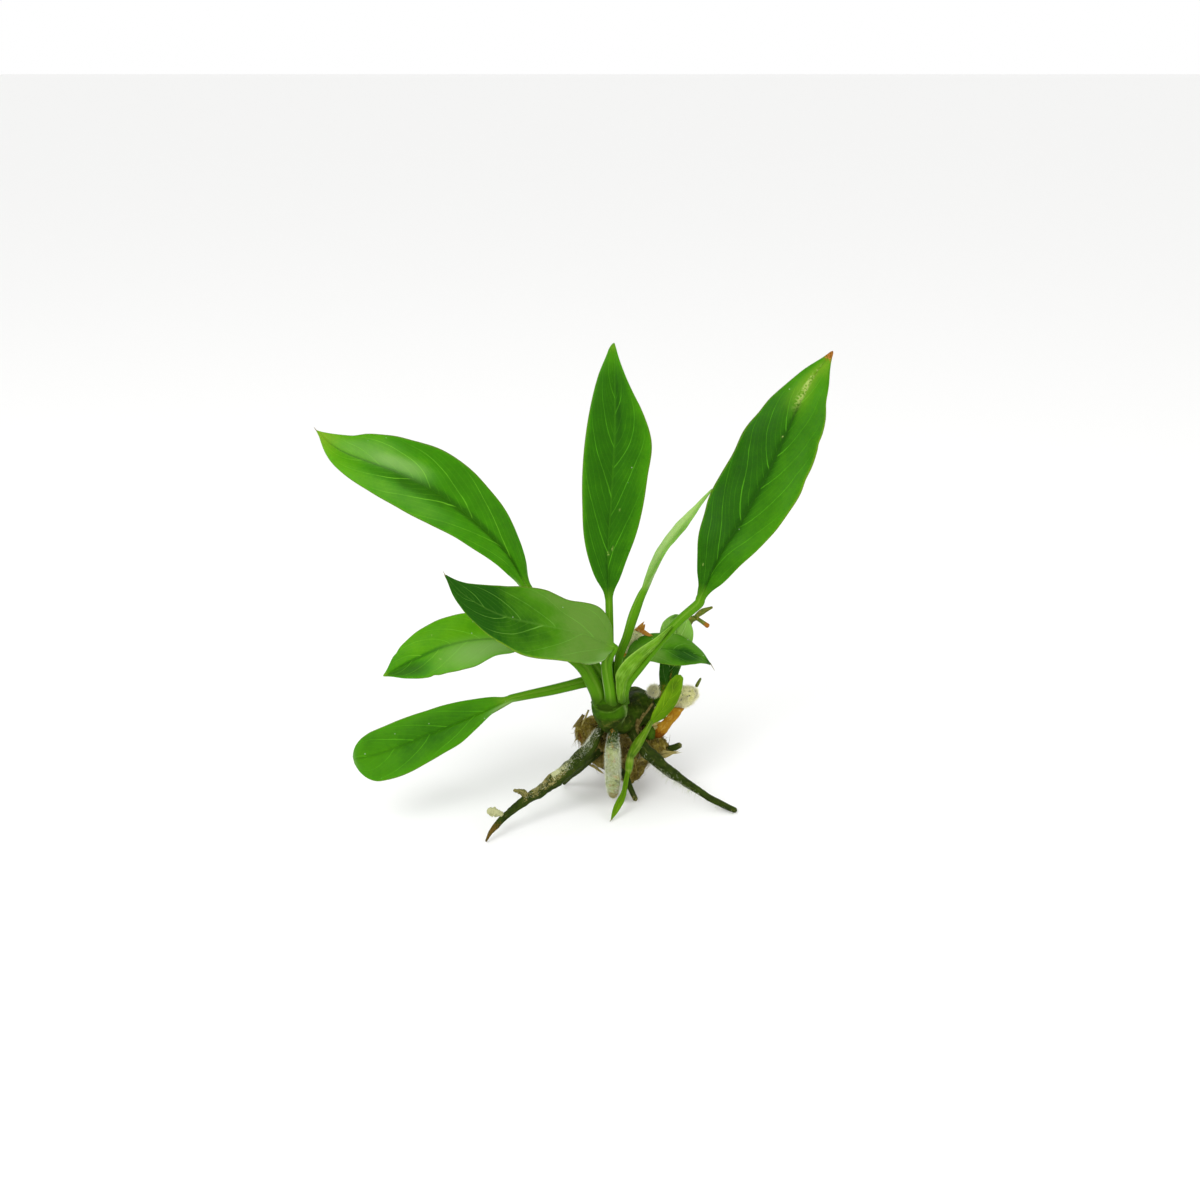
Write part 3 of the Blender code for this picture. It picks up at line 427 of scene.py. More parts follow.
def between(values, t):
    """The values at t from 0 to 1 along a list of equally spaced ones, on a smooth curve."""
    values = np.asarray(values, float)
    last = len(values) - 1
    i = np.clip((np.asarray(t) * last).astype(int), 0, last - 1)
    before, after = values[np.maximum(i - 1, 0)], values[np.minimum(i + 2, last)]
    return cubic(before, values[i], values[i + 1], after, t * last - i)


def as_mesh(shape, name):
    """Turns a finished bmesh into a mesh and lets the bmesh go."""
    mesh = bpy.data.meshes.new(name)
    shape.to_mesh(mesh)
    shape.free()
    return mesh


def placed(name, data):
    """Puts a mesh, lamp or camera in the scene."""
    item = bpy.data.objects.new(name, data)
    bpy.context.scene.collection.objects.link(item)
    return item


def positions(mesh):
    """The points of a mesh, one a row."""
    spots = np.empty(len(mesh.vertices) * 3, np.float32)
    mesh.vertices.foreach_get("co", spots)
    return spots.reshape(-1, 3).astype(float)


def put(mesh, points, marks=None):
    """Moves a mesh's points to these places of the plant, and marks them for the finishes."""
    mesh.vertices.foreach_set("co", ((points + STAND) * MM).astype(np.float32).ravel())
    for name, values in (marks or {}).items():
        mark = mesh.attributes.get(name) or mesh.attributes.new(name, "FLOAT", "POINT")
        mark.data.foreach_set("value", np.broadcast_to(values, len(points)).astype(np.float32))
    mesh.update()


def close_up(mesh, cut_at=None):
    """Joins a wrapped skin's seam, cuts it off level if asked, closes it and turns its faces outwards."""
    skin = bmesh.new()
    skin.from_mesh(mesh)
    bmesh.ops.remove_doubles(skin, verts=skin.verts, dist=0.001 * MM)
    if cut_at is not None:
        bmesh.ops.bisect_plane(skin, geom=skin.verts[:] + skin.edges[:] + skin.faces[:], clear_outer=True,
                               plane_co=(0, 0, (cut_at + STAND[2]) * MM), plane_no=CUT_SLANT)
    bmesh.ops.holes_fill(skin, edges=[e for e in skin.edges if e.is_boundary], sides=0)
    bmesh.ops.recalc_face_normals(skin, faces=skin.faces)
    skin.to_mesh(mesh)
    skin.free()


def wrapped(name, columns, rows, place, cut_at=None):
    """A closed skin wrapped round a line. place gives its points and marks from the shares of the way
    around and along it."""
    skin = bmesh.new()
    bmesh.ops.create_grid(skin, x_segments=columns, y_segments=rows, size=0.5)
    mesh = as_mesh(skin, name)
    spots = positions(mesh) + 0.5
    put(mesh, *place(spots[:, 0], spots[:, 1]))
    close_up(mesh, cut_at)
    return mesh


def piece(name, mesh, finish, slot, *nodes):
    """Puts a finished mesh in the scene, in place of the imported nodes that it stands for."""
    mesh.materials.clear()
    mesh.materials.append(FINISHES[finish])
    mesh.shade_smooth()
    item = placed(name, mesh)
    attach(item, "root")
    if nodes:
        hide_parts(*nodes)


def leaf_line(leaf):
    """The leaf's centre line from the crown to the tip, how far along the blade and up the stalk each step
    of it is, and the blade's length."""
    blade_length = length_of(smooth_line(leaf["midrib"], 60))
    midrib = smooth_line(leaf["midrib"], round(blade_length / LEAF_STEP))
    along = np.linspace(0, 1, len(midrib))
    if "stalk" not in leaf:
        return midrib, along, np.zeros(len(midrib)), blade_length
    stalk = np.array(leaf["stalk"], float)
    root = stalk[0] - unit(stalk[1] - stalk[0]) * ROOTED_DEPTH
    neck_length = leaf.get("neck", 4)
    neck = [midrib[0] - unit(midrib[3] - midrib[0]) * neck_length] if neck_length else []
    points = np.vstack((root, stalk, *neck, midrib[0]))
    stalk_length = length_of(points)
    line = smooth_line(points, round(stalk_length / STALK_STEP))[:-1]
    up_stalk = np.linspace(0, 1, len(line) + 1)[:-1]
    return (np.vstack((line, midrib)), np.concatenate(((up_stalk - 1) * stalk_length / blade_length, along)),
            np.concatenate((up_stalk, np.ones(len(midrib)))), blade_length)


def vein_phase(leaf, across, along):
    """Whole numbers along the side veins, which leave the midrib forwards and then follow the margin."""
    out = np.abs(across)
    other = np.where(across > 0, 0.37, 0)
    run = along - 0.2 * out - 0.2 * out ** 2
    uneven = 0.02 * np.sin(9 * run + 40 * other) + 0.012 * np.sin(23 * run + 5 * out)
    return leaf["veins"] * (run + uneven) + other + 3


def leaf_skin(name, leaf):
    """A leaf: a channelled stalk that spreads into a thin blade with a sunken midrib and side veins."""
    line, along_line, up_stalk, blade_length = leaf_line(leaf)
    ahead = unit(np.gradient(line, axis=0))
    side = unit(np.cross(ahead, np.array(leaf["face"], float)))
    face = np.cross(side, ahead)
    on_blade = np.clip(along_line, 0, 1)
    radius = between(leaf.get("stalk_radii", (leaf["left"][0],) * 2), up_stalk)
    from_crown = up_stalk * max(1.0, -along_line[0] * blade_length) if "stalk" in leaf else 99 + 0 * up_stalk
    foot_width, foot_depth, foot_reach = leaf.get("foot", (0, 0, 5))
    rows, columns = len(line) - 1, 2 * LEAF_COLUMNS

    def place(around, along):
        row = np.rint(along * rows).astype(int)
        a = along_line[row]
        blade = on_blade[row]
        turn = 2 * around
        under = turn > 1
        t = np.where(under, 2 - turn, turn)
        flat = 2 * t - 1
        across = 0.6 * flat + 0.4 * flat ** 3
        round_across, round_height = -np.cos(math.pi * t), np.sin(math.pi * t)
        out = np.abs(across)

        half = np.where(across > 0, between(leaf["right"], blade), between(leaf["left"], blade))
        for margin, where, reach, depth in leaf.get("nicks", ()):
            half = half * (1 - depth * bell(blade, where, reach) * (np.sign(across) == margin))
        half = half * np.maximum(rounded(1 - blade, leaf.get("blunt", 0.012)), 0.15)
        half = half * rounded(blade + 0.012, leaf.get("round_base", 0.0))
        r = radius[row]
        foot = bell(from_crown[row], 0, foot_reach)
        spread = fade(a, 0.0, 0.03)
        half = half * spread + r * (1 - spread)
        flatness = fade(a, -0.03, 0.05 if "round_base" in leaf else 0.09)

        phase = vein_phase(leaf, across, a)
        veins = np.abs(np.sin(math.pi * phase))
        quilt = VEIN_DEPTH * veins * (1 - out ** 6) * fade(out, 0, 0.12) * fade(half, 1, 9)
        wave = leaf["ripple"] * np.sin(2 * math.pi * (SLOW_WAVES * a + 0.3 * across)) * across ** 2
        small_wave = 0.35 * leaf["ripple"] * np.sin(2 * math.pi * (SMALL_WAVES * a + 0.2 * across)) * out ** 5
        rise = leaf["fold"] * half * (out - 0.6 * across ** 2) + (wave + small_wave) * np.sin(math.pi * blade)
        wall = BLADE_THICKNESS / 2 * (1 - 0.45 * out) * (1 - out ** 12)
        wide = half * across
        keel = (r * 1.05) * (1 - blade) ** 1.3 + 0.25
        keel_width = 0.55 * r + 0.35
        groove = GROOVE_DEPTH * (1 - 0.6 * blade) * bell(wide, 0, GROOVE_WIDTH)
        top = rise + quilt + wall - groove
        bottom = rise + quilt * 0.6 - wall - keel * bell(wide, 0, keel_width)
        channel = 0.3 * r * bell(round_across, 0.1, 0.33) * fade(up_stalk[row], 0.15, 0.45)
        deep = r * (1 + foot_depth * foot)
        height = np.where(under, bottom * flatness - deep * round_height * (1 - flatness),
                          top * flatness + (deep * 0.92 * round_height - channel) * (1 - flatness))
        width = wide * flatness + r * (1 + foot_width * foot) * round_across * (1 - flatness)
        points = line[row] + side[row] * width[:, None] + face[row] * height[:, None]

        # light and pale carry painted light and shade and painted satin highlights, besides the leaf's own
        # lighter, darker and pale places
        marks = dict.fromkeys(("light", "pale", "worn", "yellow", "dead"), 0.0)
        for mark, x, y, reach_x, reach_y, strength in leaf["marks"]:
            marks[mark] = marks[mark] + strength * patch(across, x, reach_x) * patch(a, y, reach_y)
        marks.update(across=across, along=a, vein=phase, under=under * 1.0, crease=leaf["crease"],
                     foot=0.8 * bell(points[:, 2], FOOT_HEIGHT, 3.0) * (from_crown[row] < 14))
        return points, marks

    return wrapped(name, columns, rows, place)


def tube_frame(points, radii, step):
    """A round piece's centre line at even steps, two directions across it, and its radius at each step."""
    steps = max(6, round(length_of(points) / step))
    line = smooth_line(points, steps)
    ahead = unit(np.gradient(line, axis=0))
    first = unit(np.cross(ahead, (0.05, -1.0, 0.3)))
    second = np.cross(first, ahead)
    return line, first, second, between(radii, np.linspace(0, 1, steps + 1))


def tube_spots(tube, around, along):
    """Where the middle of a round piece is, the way out of it, and its radius there."""
    line, first, second, radius = tube
    at = np.clip(along, 0, 1) * (len(line) - 1)
    low = np.clip(at.astype(int), 0, len(line) - 2)
    mix = (at - low)[:, None]
    angle = 2 * math.pi * around
    centre = line[low] * (1 - mix) + line[low + 1] * mix
    out = unit(first[low] * np.cos(angle)[:, None] + second[low] * np.sin(angle)[:, None])
    return centre, out, radius[low] * (1 - mix[:, 0]) + radius[low + 1] * mix[:, 0]


def root_skin(name, points, radii, lumps=0.14, ragged=0.0, step=0.45, columns=36, core=1.0, sunk=0.0,
              deep=1.0, cut_at=None, shade=None):
    """A root or stalk: a round skin with lengthwise wrinkles, with lumps, and ragged if torn. Its flesh may
    be thinner than its hairs reach (core) and lie lower than their middle (sunk). It may be flattened front
    to back (deep) and cut off level at a height (cut_at). Its marks come from shade(along, out, spots)."""
    tube = tube_frame(points, radii, step)
    length = length_of(points)

    def place(around, along):
        centre, out, radius = tube_spots(tube, around, along)
        centre = centre - np.array((0, 0, sunk)) * radius[:, None]
        radius = radius * core
        reach = np.maximum(radius, 0.4)
        keep = np.maximum(rounded(along * length, reach), 0.02)
        if cut_at is None:
            keep = keep * np.maximum(rounded((1 - along) * length, reach), 0.02)
        places = centre + out * radius[:, None]
        swell = lumps * (unevenness(places, 4.0) * 1.2 + unevenness(places, 1.3) * 0.6
                         + ragged * unevenness(places, 0.6))
        streak = np.stack((np.cos(2 * math.pi * around) * 2.2, np.sin(2 * math.pi * around) * 2.2,
                           along * length / 6), axis=1)
        swell = swell + lumps * 0.7 * unevenness(streak, 1.0)
        spots = centre + out * (radius * keep * (1 + swell))[:, None] * np.array((1, deep, 1))
        marks = {"side": np.cos(2 * math.pi * around), "front": np.sin(2 * math.pi * around),
                 "run": along * length}
        if shade:
            marks.update(shade(along, out, spots))
        return spots, marks

    return wrapped(name, columns, len(tube[0]) - 1, place, cut_at), tube


def sheath_skin(name):
    """A folded sheet from its thin free edge over the front of the stalk, which it meets in a soft seam."""
    rows, columns = 90, 40
    edge, seam = smooth_line(SHEATH_EDGE, rows), smooth_line(SHEATH_SEAM, rows)
    ahead = unit(np.gradient(edge + seam, axis=0))
    front = unit(np.cross(ahead, np.array((0.75, 0.0, -0.65))))
    front = front * -np.sign(front[:, 1:2])

    def place(around, along):
        row = np.rint(along * rows).astype(int)
        turn = 2 * around
        inner = turn > 1
        t = np.where(inner, 2 - turn, turn)
        sheet = edge[row] * (1 - t)[:, None] + seam[row] * t[:, None]
        width = np.linalg.norm(seam[row] - edge[row], axis=1)
        bulge = 0.13 * width * np.sin(math.pi * t) ** 0.8 - 0.8 * fade(t, 0.7, 1)
        wall = (0.12 + 0.45 * np.sin(math.pi * t)) * np.minimum(1, width / 2) * np.clip(12 * t, 0, 1)
        ribs = 0.05 * np.sin(9 * math.pi * t) * np.sin(math.pi * t)
        points = sheet + front[row] * (bulge + np.where(inner, -wall, wall + ribs))[:, None]
        return points, {"side": 2.5 * t, "front": 0.0, "run": along * length_of(edge),
                        "rim": bell(t, 0, 0.07), "foot": 0.8 * bell(points[:, 2], FOOT_HEIGHT, 2.8)}

    return wrapped(name, 2 * columns, rows, place)


def strand(sides, joints):
    """The pattern of a hair: a thin tapered rod of length 1 and radius 1 at its root, with few faces."""
    rod = bmesh.new()
    bmesh.ops.create_cone(rod, cap_ends=True, segments=sides, radius1=1, radius2=0.25, depth=1)
    bmesh.ops.translate(rod, vec=(0, 0, 0.5), verts=rod.verts)
    if joints > 1:
        upright = [e for e in rod.edges if abs(e.verts[0].co.z - e.verts[1].co.z) > 0.5]
        bmesh.ops.subdivide_edges(rod, edges=upright, cuts=joints - 1, use_grid_fill=False)
    return as_mesh(rod, "strand")


def flake():
    """The pattern of a torn papery scale: a thin slab, 2 wide and 1 long, with a ragged end."""
    slab = bmesh.new()
    bmesh.ops.create_cube(slab, size=2)
    bmesh.ops.scale(slab, vec=(1, 1, 0.5), verts=slab.verts)
    bmesh.ops.translate(slab, vec=(0, 0, 0.5), verts=slab.verts)
    for axis, longer, cuts in ((2, 0.5, 4), (0, 1, 2)):
        long_edges = [e for e in slab.edges if abs(e.verts[0].co[axis] - e.verts[1].co[axis]) > longer]
        bmesh.ops.subdivide_edges(slab, edges=long_edges, cuts=cuts, use_grid_fill=True)
    for corner in slab.verts:
        x, z = corner.co.x, corner.co.z
        corner.co.x = x * (0.45 + 0.55 * math.sin(math.pi * min(1, 0.25 + 0.8 * z)) ** 0.7)
        corner.co.z = z + 0.12 * math.sin(5 * x + 1) * (z > 0.7) + 0.06 * math.sin(11 * x) * (z > 0.9)
        corner.co.y = corner.co.y * (1.2 - 0.8 * z) + 1.6 * x * x - 0.6
    return as_mesh(slab, "flake")


def joined(name, pattern, starts, ways, bends, lengths, widths, depths, tint, faces_out=None):
    """One mesh of many copies of a small shape: each starts at its start, goes its way and bends aside."""
    shape = positions(pattern)
    ways = unit(ways)
    first = unit(np.cross(ways, (0.31, 0.2, 0.93) if faces_out is None else faces_out))
    second = np.cross(ways, first)
    z = shape[:, 2][None, :, None]
    points = (starts[:, None, :] + ways[:, None, :] * z * lengths[:, None, None]
              + first[:, None, :] * (shape[:, 0][None, :, None] * widths[:, None, None])
              + second[:, None, :] * (shape[:, 1][None, :, None] * depths[:, None, None])
              + bends[:, None, :] * z ** 2)
    points[:, :, 2] = np.maximum(points[:, :, 2], GROUND)
    count, size = len(starts), len(shape)
    faces = [list(p.vertices) for p in pattern.polygons]
    corners = np.concatenate(faces)
    sizes = np.array([len(f) for f in faces])
    mesh = bpy.data.meshes.new(name)
    mesh.vertices.add(count * size)
    mesh.loops.add(count * len(corners))
    mesh.polygons.add(count * len(faces))
    mesh.loops.foreach_set("vertex_index", (corners[None, :] + size * np.arange(count)[:, None]).ravel())
    starts_at = np.concatenate(([0], np.cumsum(sizes)[:-1]))
    mesh.polygons.foreach_set("loop_start",
                              (starts_at[None, :] + len(corners) * np.arange(count)[:, None]).ravel())
    put(mesh, points.reshape(-1, 3), {"tint": np.repeat(tint, size), "tip": np.tile(shape[:, 2], count)})
    mesh.validate()
    return mesh


def add_hairs(root, tube, dice, count, lengths, thickness, weight, finish="root_hair", core=1.0, sunk=0.0,
              droop=0.15, lean=0.45, tone=lambda along: 0.55):
    """Hairs standing out of a root, more of them where weight(out, along) is high, each in its own tone.
    They start on the flesh, as core and sunk place it, lean at random and droop."""
    around, along = dice.random(count * 6), dice.random(count * 6)
    centre, out, radius = tube_spots(tube, around, along)
    chosen = np.flatnonzero(dice.random(count * 6) < weight(out, along))[:count]
    along, out, radius = along[chosen], out[chosen], radius[chosen]
    reach = length_of(tube[0])
    end = (np.maximum(rounded(along * reach, radius), 0.05)
           * np.maximum(rounded((1 - along) * reach, radius), 0.05))
    centre = centre[chosen] - np.array((0, 0, sunk)) * radius[:, None]
    ahead = unit(tube[0][-1] - tube[0][-3])
    ahead = ahead[None, :] * fade(along, 1 - 0.8 * np.max(radius) / reach, 1)[:, None]
    ways = unit(out + ahead + dice.normal(0, lean, (len(chosen), 3)))
    length = dice.uniform(*lengths, len(chosen))
    starts = centre + out * (radius * core * 0.95 * end)[:, None]
    bends = (dice.normal(0, 0.3, (len(chosen), 3)) * length[:, None]
             - np.array((0, 0, droop)) * length[:, None])
    tint = np.clip(tone(along) + dice.normal(0, 0.2, len(chosen)), 0, 1)
    widths = np.full(len(chosen), thickness)
    hairs = joined(root + "_hairs", strand(3, 2), starts, ways, bends, length, widths, widths, tint)
    piece(root + "_hairs", hairs, finish, "root_hairs")


# Dark olive where a stalk or stem comes out of its joint, and the pale of painted satin highlights and of
# pale rims on living green
DARK_JOINT = "2A4602"
PALE_SHEEN_AND_RIM = "9CB47C"

# How leaf, skin and fibre bend light, and how far it goes into living green flesh
PLANT_IOR = 1.45
FLESH = {"Subsurface Weight": 0.15, "Subsurface Radius": (0.4, 1.0, 0.15), "Subsurface Scale": 0.001}


def linear(colour):
    """An sRGB hex colour as the linear one that the shaders take."""
    channels = [int(colour[i:i + 2], 16) / 255 for i in (0, 2, 4)]
    return (*(c / 12.92 if c <= 0.04045 else ((c + 0.055) / 1.055) ** 2.4 for c in channels), 1)


def add_node(tree, kind, inputs=(), **settings):
    """Adds a node with its settings, or a Math node if the kind is an operation in capitals. The inputs, by
    name or in the order of the sockets that the node shows, are values, hex colours or what is linked to
    them."""
    if kind.isupper():
        kind, settings["operation"] = "Math", kind
    node = tree.nodes.new("ShaderNode" + kind)
    if kind == "Mix":
        node.data_type = "RGBA"
    for name, value in settings.items():
        setattr(node, name, value)
    sockets = [s for s in node.inputs if s.enabled]
    if isinstance(inputs, dict):
        sockets = [next(s for s in sockets if s.name == name) for name in inputs]
        inputs = inputs.values()
    for socket, value in zip(sockets, inputs):
        if isinstance(value, bpy.types.Node):
            value = next(s for s in value.outputs if s.enabled)
        if isinstance(value, bpy.types.NodeSocket):
            tree.links.new(value, socket)
        else:
            socket.default_value = linear(value) if isinstance(value, str) else value
    return node


def new_finish(name, *marks):
    """An empty material, what adds its nodes, the place on the object, and the marks read off the mesh."""
    finish = bpy.data.materials.new(name)
    finish.use_nodes = True
    finish.node_tree.nodes.clear()
    add = partial(add_node, finish.node_tree)
    place = add("TexCoord").outputs["Object"]
    return finish, add, place, [add("Attribute", attribute_name=m).outputs["Fac"] for m in marks]


def close_finish(finish, add, colour, roughness, shine, relief=None, flesh=None):
    """Ends a finish with its surface. relief is the strength, depth and height of its small relief, and
    flesh how it lets light in."""
    surface = {"Base Color": colour, "Roughness": roughness, "IOR": PLANT_IOR, "Specular IOR Level": shine}
    if relief:
        strength, depth, height = relief
        surface["Normal"] = add("Bump", {"Strength": strength, "Distance": depth, "Height": height})
    skin = add("BsdfPrincipled", {**surface, **(flesh or {})})
    add("OutputMaterial", (skin,))
    return finish


# In the finishes below a noise takes the place on the object, its patches to the metre, its detail and its
# roughness, and a range takes a value, two bounds of it and what it is at these
def leaf_finish(name, deep, green, bright, vein, underside, stalk="4A7E08"):
    """Waxy living leaf: a satin skin over soft green flesh that lets light through. Its side veins are thin
    and a little lighter, with fainter ones between. The midrib is a crease painted dark as shade, or a light
    line."""
    finish, add, place, marks = new_finish(name, "across", "along", "vein", "under", "light", "pale", "worn",
                                           "yellow", "dead", "crease", "foot")
    across, along, phase, under, light, pale, worn, yellow, dead, crease, foot = marks

    # Clouds 8 mm wide and mottling 1.2 mm wide in the green
    clouds = add("TexNoise", (place, 1 / 0.008, 3.0, 0.5))
    mottle = add("TexNoise", (place, 1 / 0.0012, 4.0, 0.65))
    cloudy = add("MapRange", (clouds, 0.3, 0.7, -0.26, 0.26))
    speckled = add("MapRange", (mottle, 0.3, 0.7, -0.14, 0.14))
    # The light mark adds painted light and shade of folds, creases and overlapping leaves, besides the leaf's
    # own lighter and darker places
    shade = add("ADD", (light, cloudy))
    shade = add("ADD", (shade, speckled))
    shade = add("MULTIPLY_ADD", (shade, 0.5, 0.5))
    ramp = add("ValToRGB", (shade,))
    ramp.color_ramp.elements[0].color = linear(deep)
    ramp.color_ramp.elements[1].color = linear(bright)
    ramp.color_ramp.elements.new(0.5).color = linear(green)

    # Main side veins about 0.5 mm wide, and three fainter ones between each two
    wobble = add("MapRange", (clouds, 0.0, 1.0, -0.06, 0.06))
    phase = add("ADD", (phase, wobble))
    fold = add("PINGPONG", (phase, 0.5))
    fine_fold = add("PINGPONG", (phase, 0.125))
    main_vein = add("MapRange", (fold, 0.005, 0.032, 0.85, 0.0), interpolation_type="SMOOTHSTEP")
    fine_vein = add("MapRange", (fine_fold, 0.003, 0.018, 0.24, 0.0), interpolation_type="SMOOTHSTEP")
    veins = add("MAXIMUM", (main_vein, fine_vein))
    away = add("ABSOLUTE", (across,))
    strength = add("MapRange", (clouds, 0.38, 0.62, 0.42, 0.95))
    inside = add("MapRange", (away, 0.7, 0.98, 1.0, 0.2))
    on_blade = add("MapRange", (along, 0.02, 0.1))
    strength = add("MULTIPLY", (strength, on_blade))
    strength = add("MULTIPLY", (strength, inside))
    veins_seen = add("MULTIPLY", (veins, strength))
    colour = add("Mix", (veins_seen, ramp, vein))
    midrib = add("MapRange", (away, 0.01, 0.055), interpolation_type="SMOOTHSTEP")
    midrib = add("SUBTRACT", (1.0, midrib))
    midrib = add("MULTIPLY", (midrib, on_blade))
    # A crease above 0 paints shade along the midrib's groove in the deep green; below 0 the midrib is a light
    # line in the vein colour
    for side, tint in ((1.0, deep), (-1.0, vein)):
        line = add("MULTIPLY", (crease, side), use_clamp=True)
        line = add("MULTIPLY", (line, midrib))
        colour = add("Mix", (line, colour, tint))

    # Thin margins are painted yellower and lighter as light shines through them, and the tips turn yellow
    # before they die back
    margin = add("MapRange", (away, 0.93, 1.0, 0.0, 0.4), interpolation_type="SMOOTHSTEP")
    margin = add("MULTIPLY", (margin, on_blade))
    yellow_and_lit_margin = add("MULTIPLY_ADD", (yellow, speckled, yellow))
    yellow_and_lit_margin = add("ADD", (yellow_and_lit_margin, margin), use_clamp=True)

    # Smooth pale places, mostly painted satin highlights and some pale rims, places worn to pale freckles 0.9
    # mm wide, and single white specks 6 mm apart
    sheen_and_rim = add("MULTIPLY", (pale, 0.8), use_clamp=True)
    freckles = add("TexNoise", (place, 1 / 0.0009, 3.0, 0.7))
    freckles = add("MapRange", (freckles, 0.44, 0.56))
    rubbed = add("MULTIPLY", (freckles, worn), use_clamp=True)
    specks = add("TexVoronoi", (place, 1 / 0.0058))
    specks = add("MapRange", (specks, 0.02, 0.05, 0.7, 0.0))
    for amount, tint in ((yellow_and_lit_margin, "789A22"), (sheen_and_rim, PALE_SHEEN_AND_RIM), (rubbed, "98AE58"),
                         (specks, "A6B496")):
        colour = add("Mix", (amount, colour, tint))

    # The underside is duller and paler, with lighter veins
    below = add("MULTIPLY", (under, 0.78))
    below = add("MULTIPLY", (below, on_blade))
    matt = add("MapRange", (shade, 0.0, 1.0, 0.45))
    lower = add("Mix", (matt, green, underside))
    lower = add("Mix", (veins_seen, lower, vein))
    colour = add("Mix", (below, colour, lower))

    # The stalk has fine lengthwise streaks, is painted paler along its top as lit from above, takes the
    # painted satin highlights, and gets dark olive where it enters the crown
    on_stalk = add("MapRange", (along, 0.06, 0.0))
    ribs = add("MULTIPLY", (across, 4.0))
    streaks = add("TexNoise", (add("CombineXYZ", (ribs, along, under)), 2.2, 2.0))
    streaks = add("MapRange", (streaks, 0.35, 0.7, 0.0, 0.4))
    lit_top = add("MapRange", (away, 0.02, 0.12, 0.3, 0.0), interpolation_type="SMOOTHSTEP")
    stem = add("Mix", (streaks, stalk, "528608"))
    for amount, tint in ((lit_top, "84AE3C"), (sheen_and_rim, PALE_SHEEN_AND_RIM), (foot, DARK_JOINT)):
        stem = add("Mix", (amount, stem, tint))
    colour = add("Mix", (on_stalk, colour, stem))

    # A dead tip is brown and mottled
    dying = add("MULTIPLY_ADD", (freckles, 0.3, dead))
    dying = add("MapRange", (dying, 0.5, 0.95))
    brown = add("Mix", (freckles, "74460C", "A87030"))
    colour = add("Mix", (dying, colour, brown))

    # Satin skin, drier where it is worn; a leathery grain 0.35 mm wide and the veins are its small relief
    gloss = add("MapRange", (mottle, 0.3, 0.7, 0.36, 0.5))
    gloss = add("MULTIPLY_ADD", (rubbed, 0.3, gloss), use_clamp=True)
    grain = add("TexNoise", (place, 1 / 0.00035, 2.0, 0.5))
    relief = add("MULTIPLY", (grain, 0.12))
    relief = add("MULTIPLY_ADD", (veins, -0.6, relief))
    return close_finish(finish, add, colour, gloss, 0.07, (0.4, 0.00025, relief), FLESH)


def stem_finish(name, deep, bright, streak):
    """Fleshy green stem: a smooth moist skin with fine lengthwise streaks, paler rims and olive joints."""
    finish, add, place, marks = new_finish(name, "side", "front", "run", "rim", "foot")
    side, front, run, rim, foot = marks
    clouds = add("TexNoise", (place, 1 / 0.004, 3.0))
    tone = add("MapRange", (clouds, 0.3, 0.7))
    colour = add("Mix", (tone, deep, bright))
    slow = add("MULTIPLY", (run, 0.06))
    streaks = add("TexNoise", (add("CombineXYZ", (side, front, slow)), 3.4, 2.0))
    streaks = add("MapRange", (streaks, 0.48, 0.72, 0.0, 0.5))
    for amount, tint in ((streaks, streak), (rim, streak), (foot, DARK_JOINT)):
        colour = add("Mix", (amount, colour, tint))
    return close_finish(finish, add, colour, 0.42, 0.1, (0.3, 0.0002, streaks), FLESH)


def skin_finish(name, dark, mid, pale, patch_mm, pale_share, marked):
    """Old plant skin, as on a root or a dry stalk: blotched, with fine lengthwise lines, corky scabs and a
    fine grain. marked gives the colour of each kind of marked place, such as crust or a brown end."""
    finish, add, place, (side, front, run, *kinds) = new_finish(name, "side", "front", "run", *marked)
    blotch = add("TexNoise", (place, 1000 / patch_mm, 5.0, 0.6))
    fine = add("TexNoise", (place, 1 / 0.0005, 3.0, 0.6))
    tone = add("MapRange", (blotch, 0.35, 0.62))
    colour = add("Mix", (tone, dark, mid))
    slow = add("MULTIPLY", (run, 0.09))
    lines = add("TexNoise", (add("CombineXYZ", (side, front, slow)), 4.5, 2.0))
    lines = add("MapRange", (lines, 0.6, 0.68, 0.0, 0.4))
    scabs = add("TexNoise", (place, 1 / 0.0022, 4.0, 0.7))
    scabs = add("MapRange", (scabs, 0.72 - 0.3 * pale_share, 0.8 - 0.3 * pale_share, 0.0, 0.8))
    light = add("MAXIMUM", (scabs, lines))
    colour = add("Mix", (light, colour, pale))
    for amount, tint in zip(kinds, marked.values()):
        torn = add("MULTIPLY_ADD", (scabs, 0.3, amount))
        torn = add("MULTIPLY_ADD", (fine, 1.2, torn))
        torn = add("MapRange", (torn, 1.0, 1.25))
        colour = add("Mix", (torn, colour, tint))
    roughness = add("MapRange", (fine, 0.3, 0.7, 0.48, 0.75))
    relief = add("MULTIPLY_ADD", (fine, 0.5, blotch))
    return close_finish(finish, add, colour, roughness, 0.08, (0.6, 0.0004, relief))


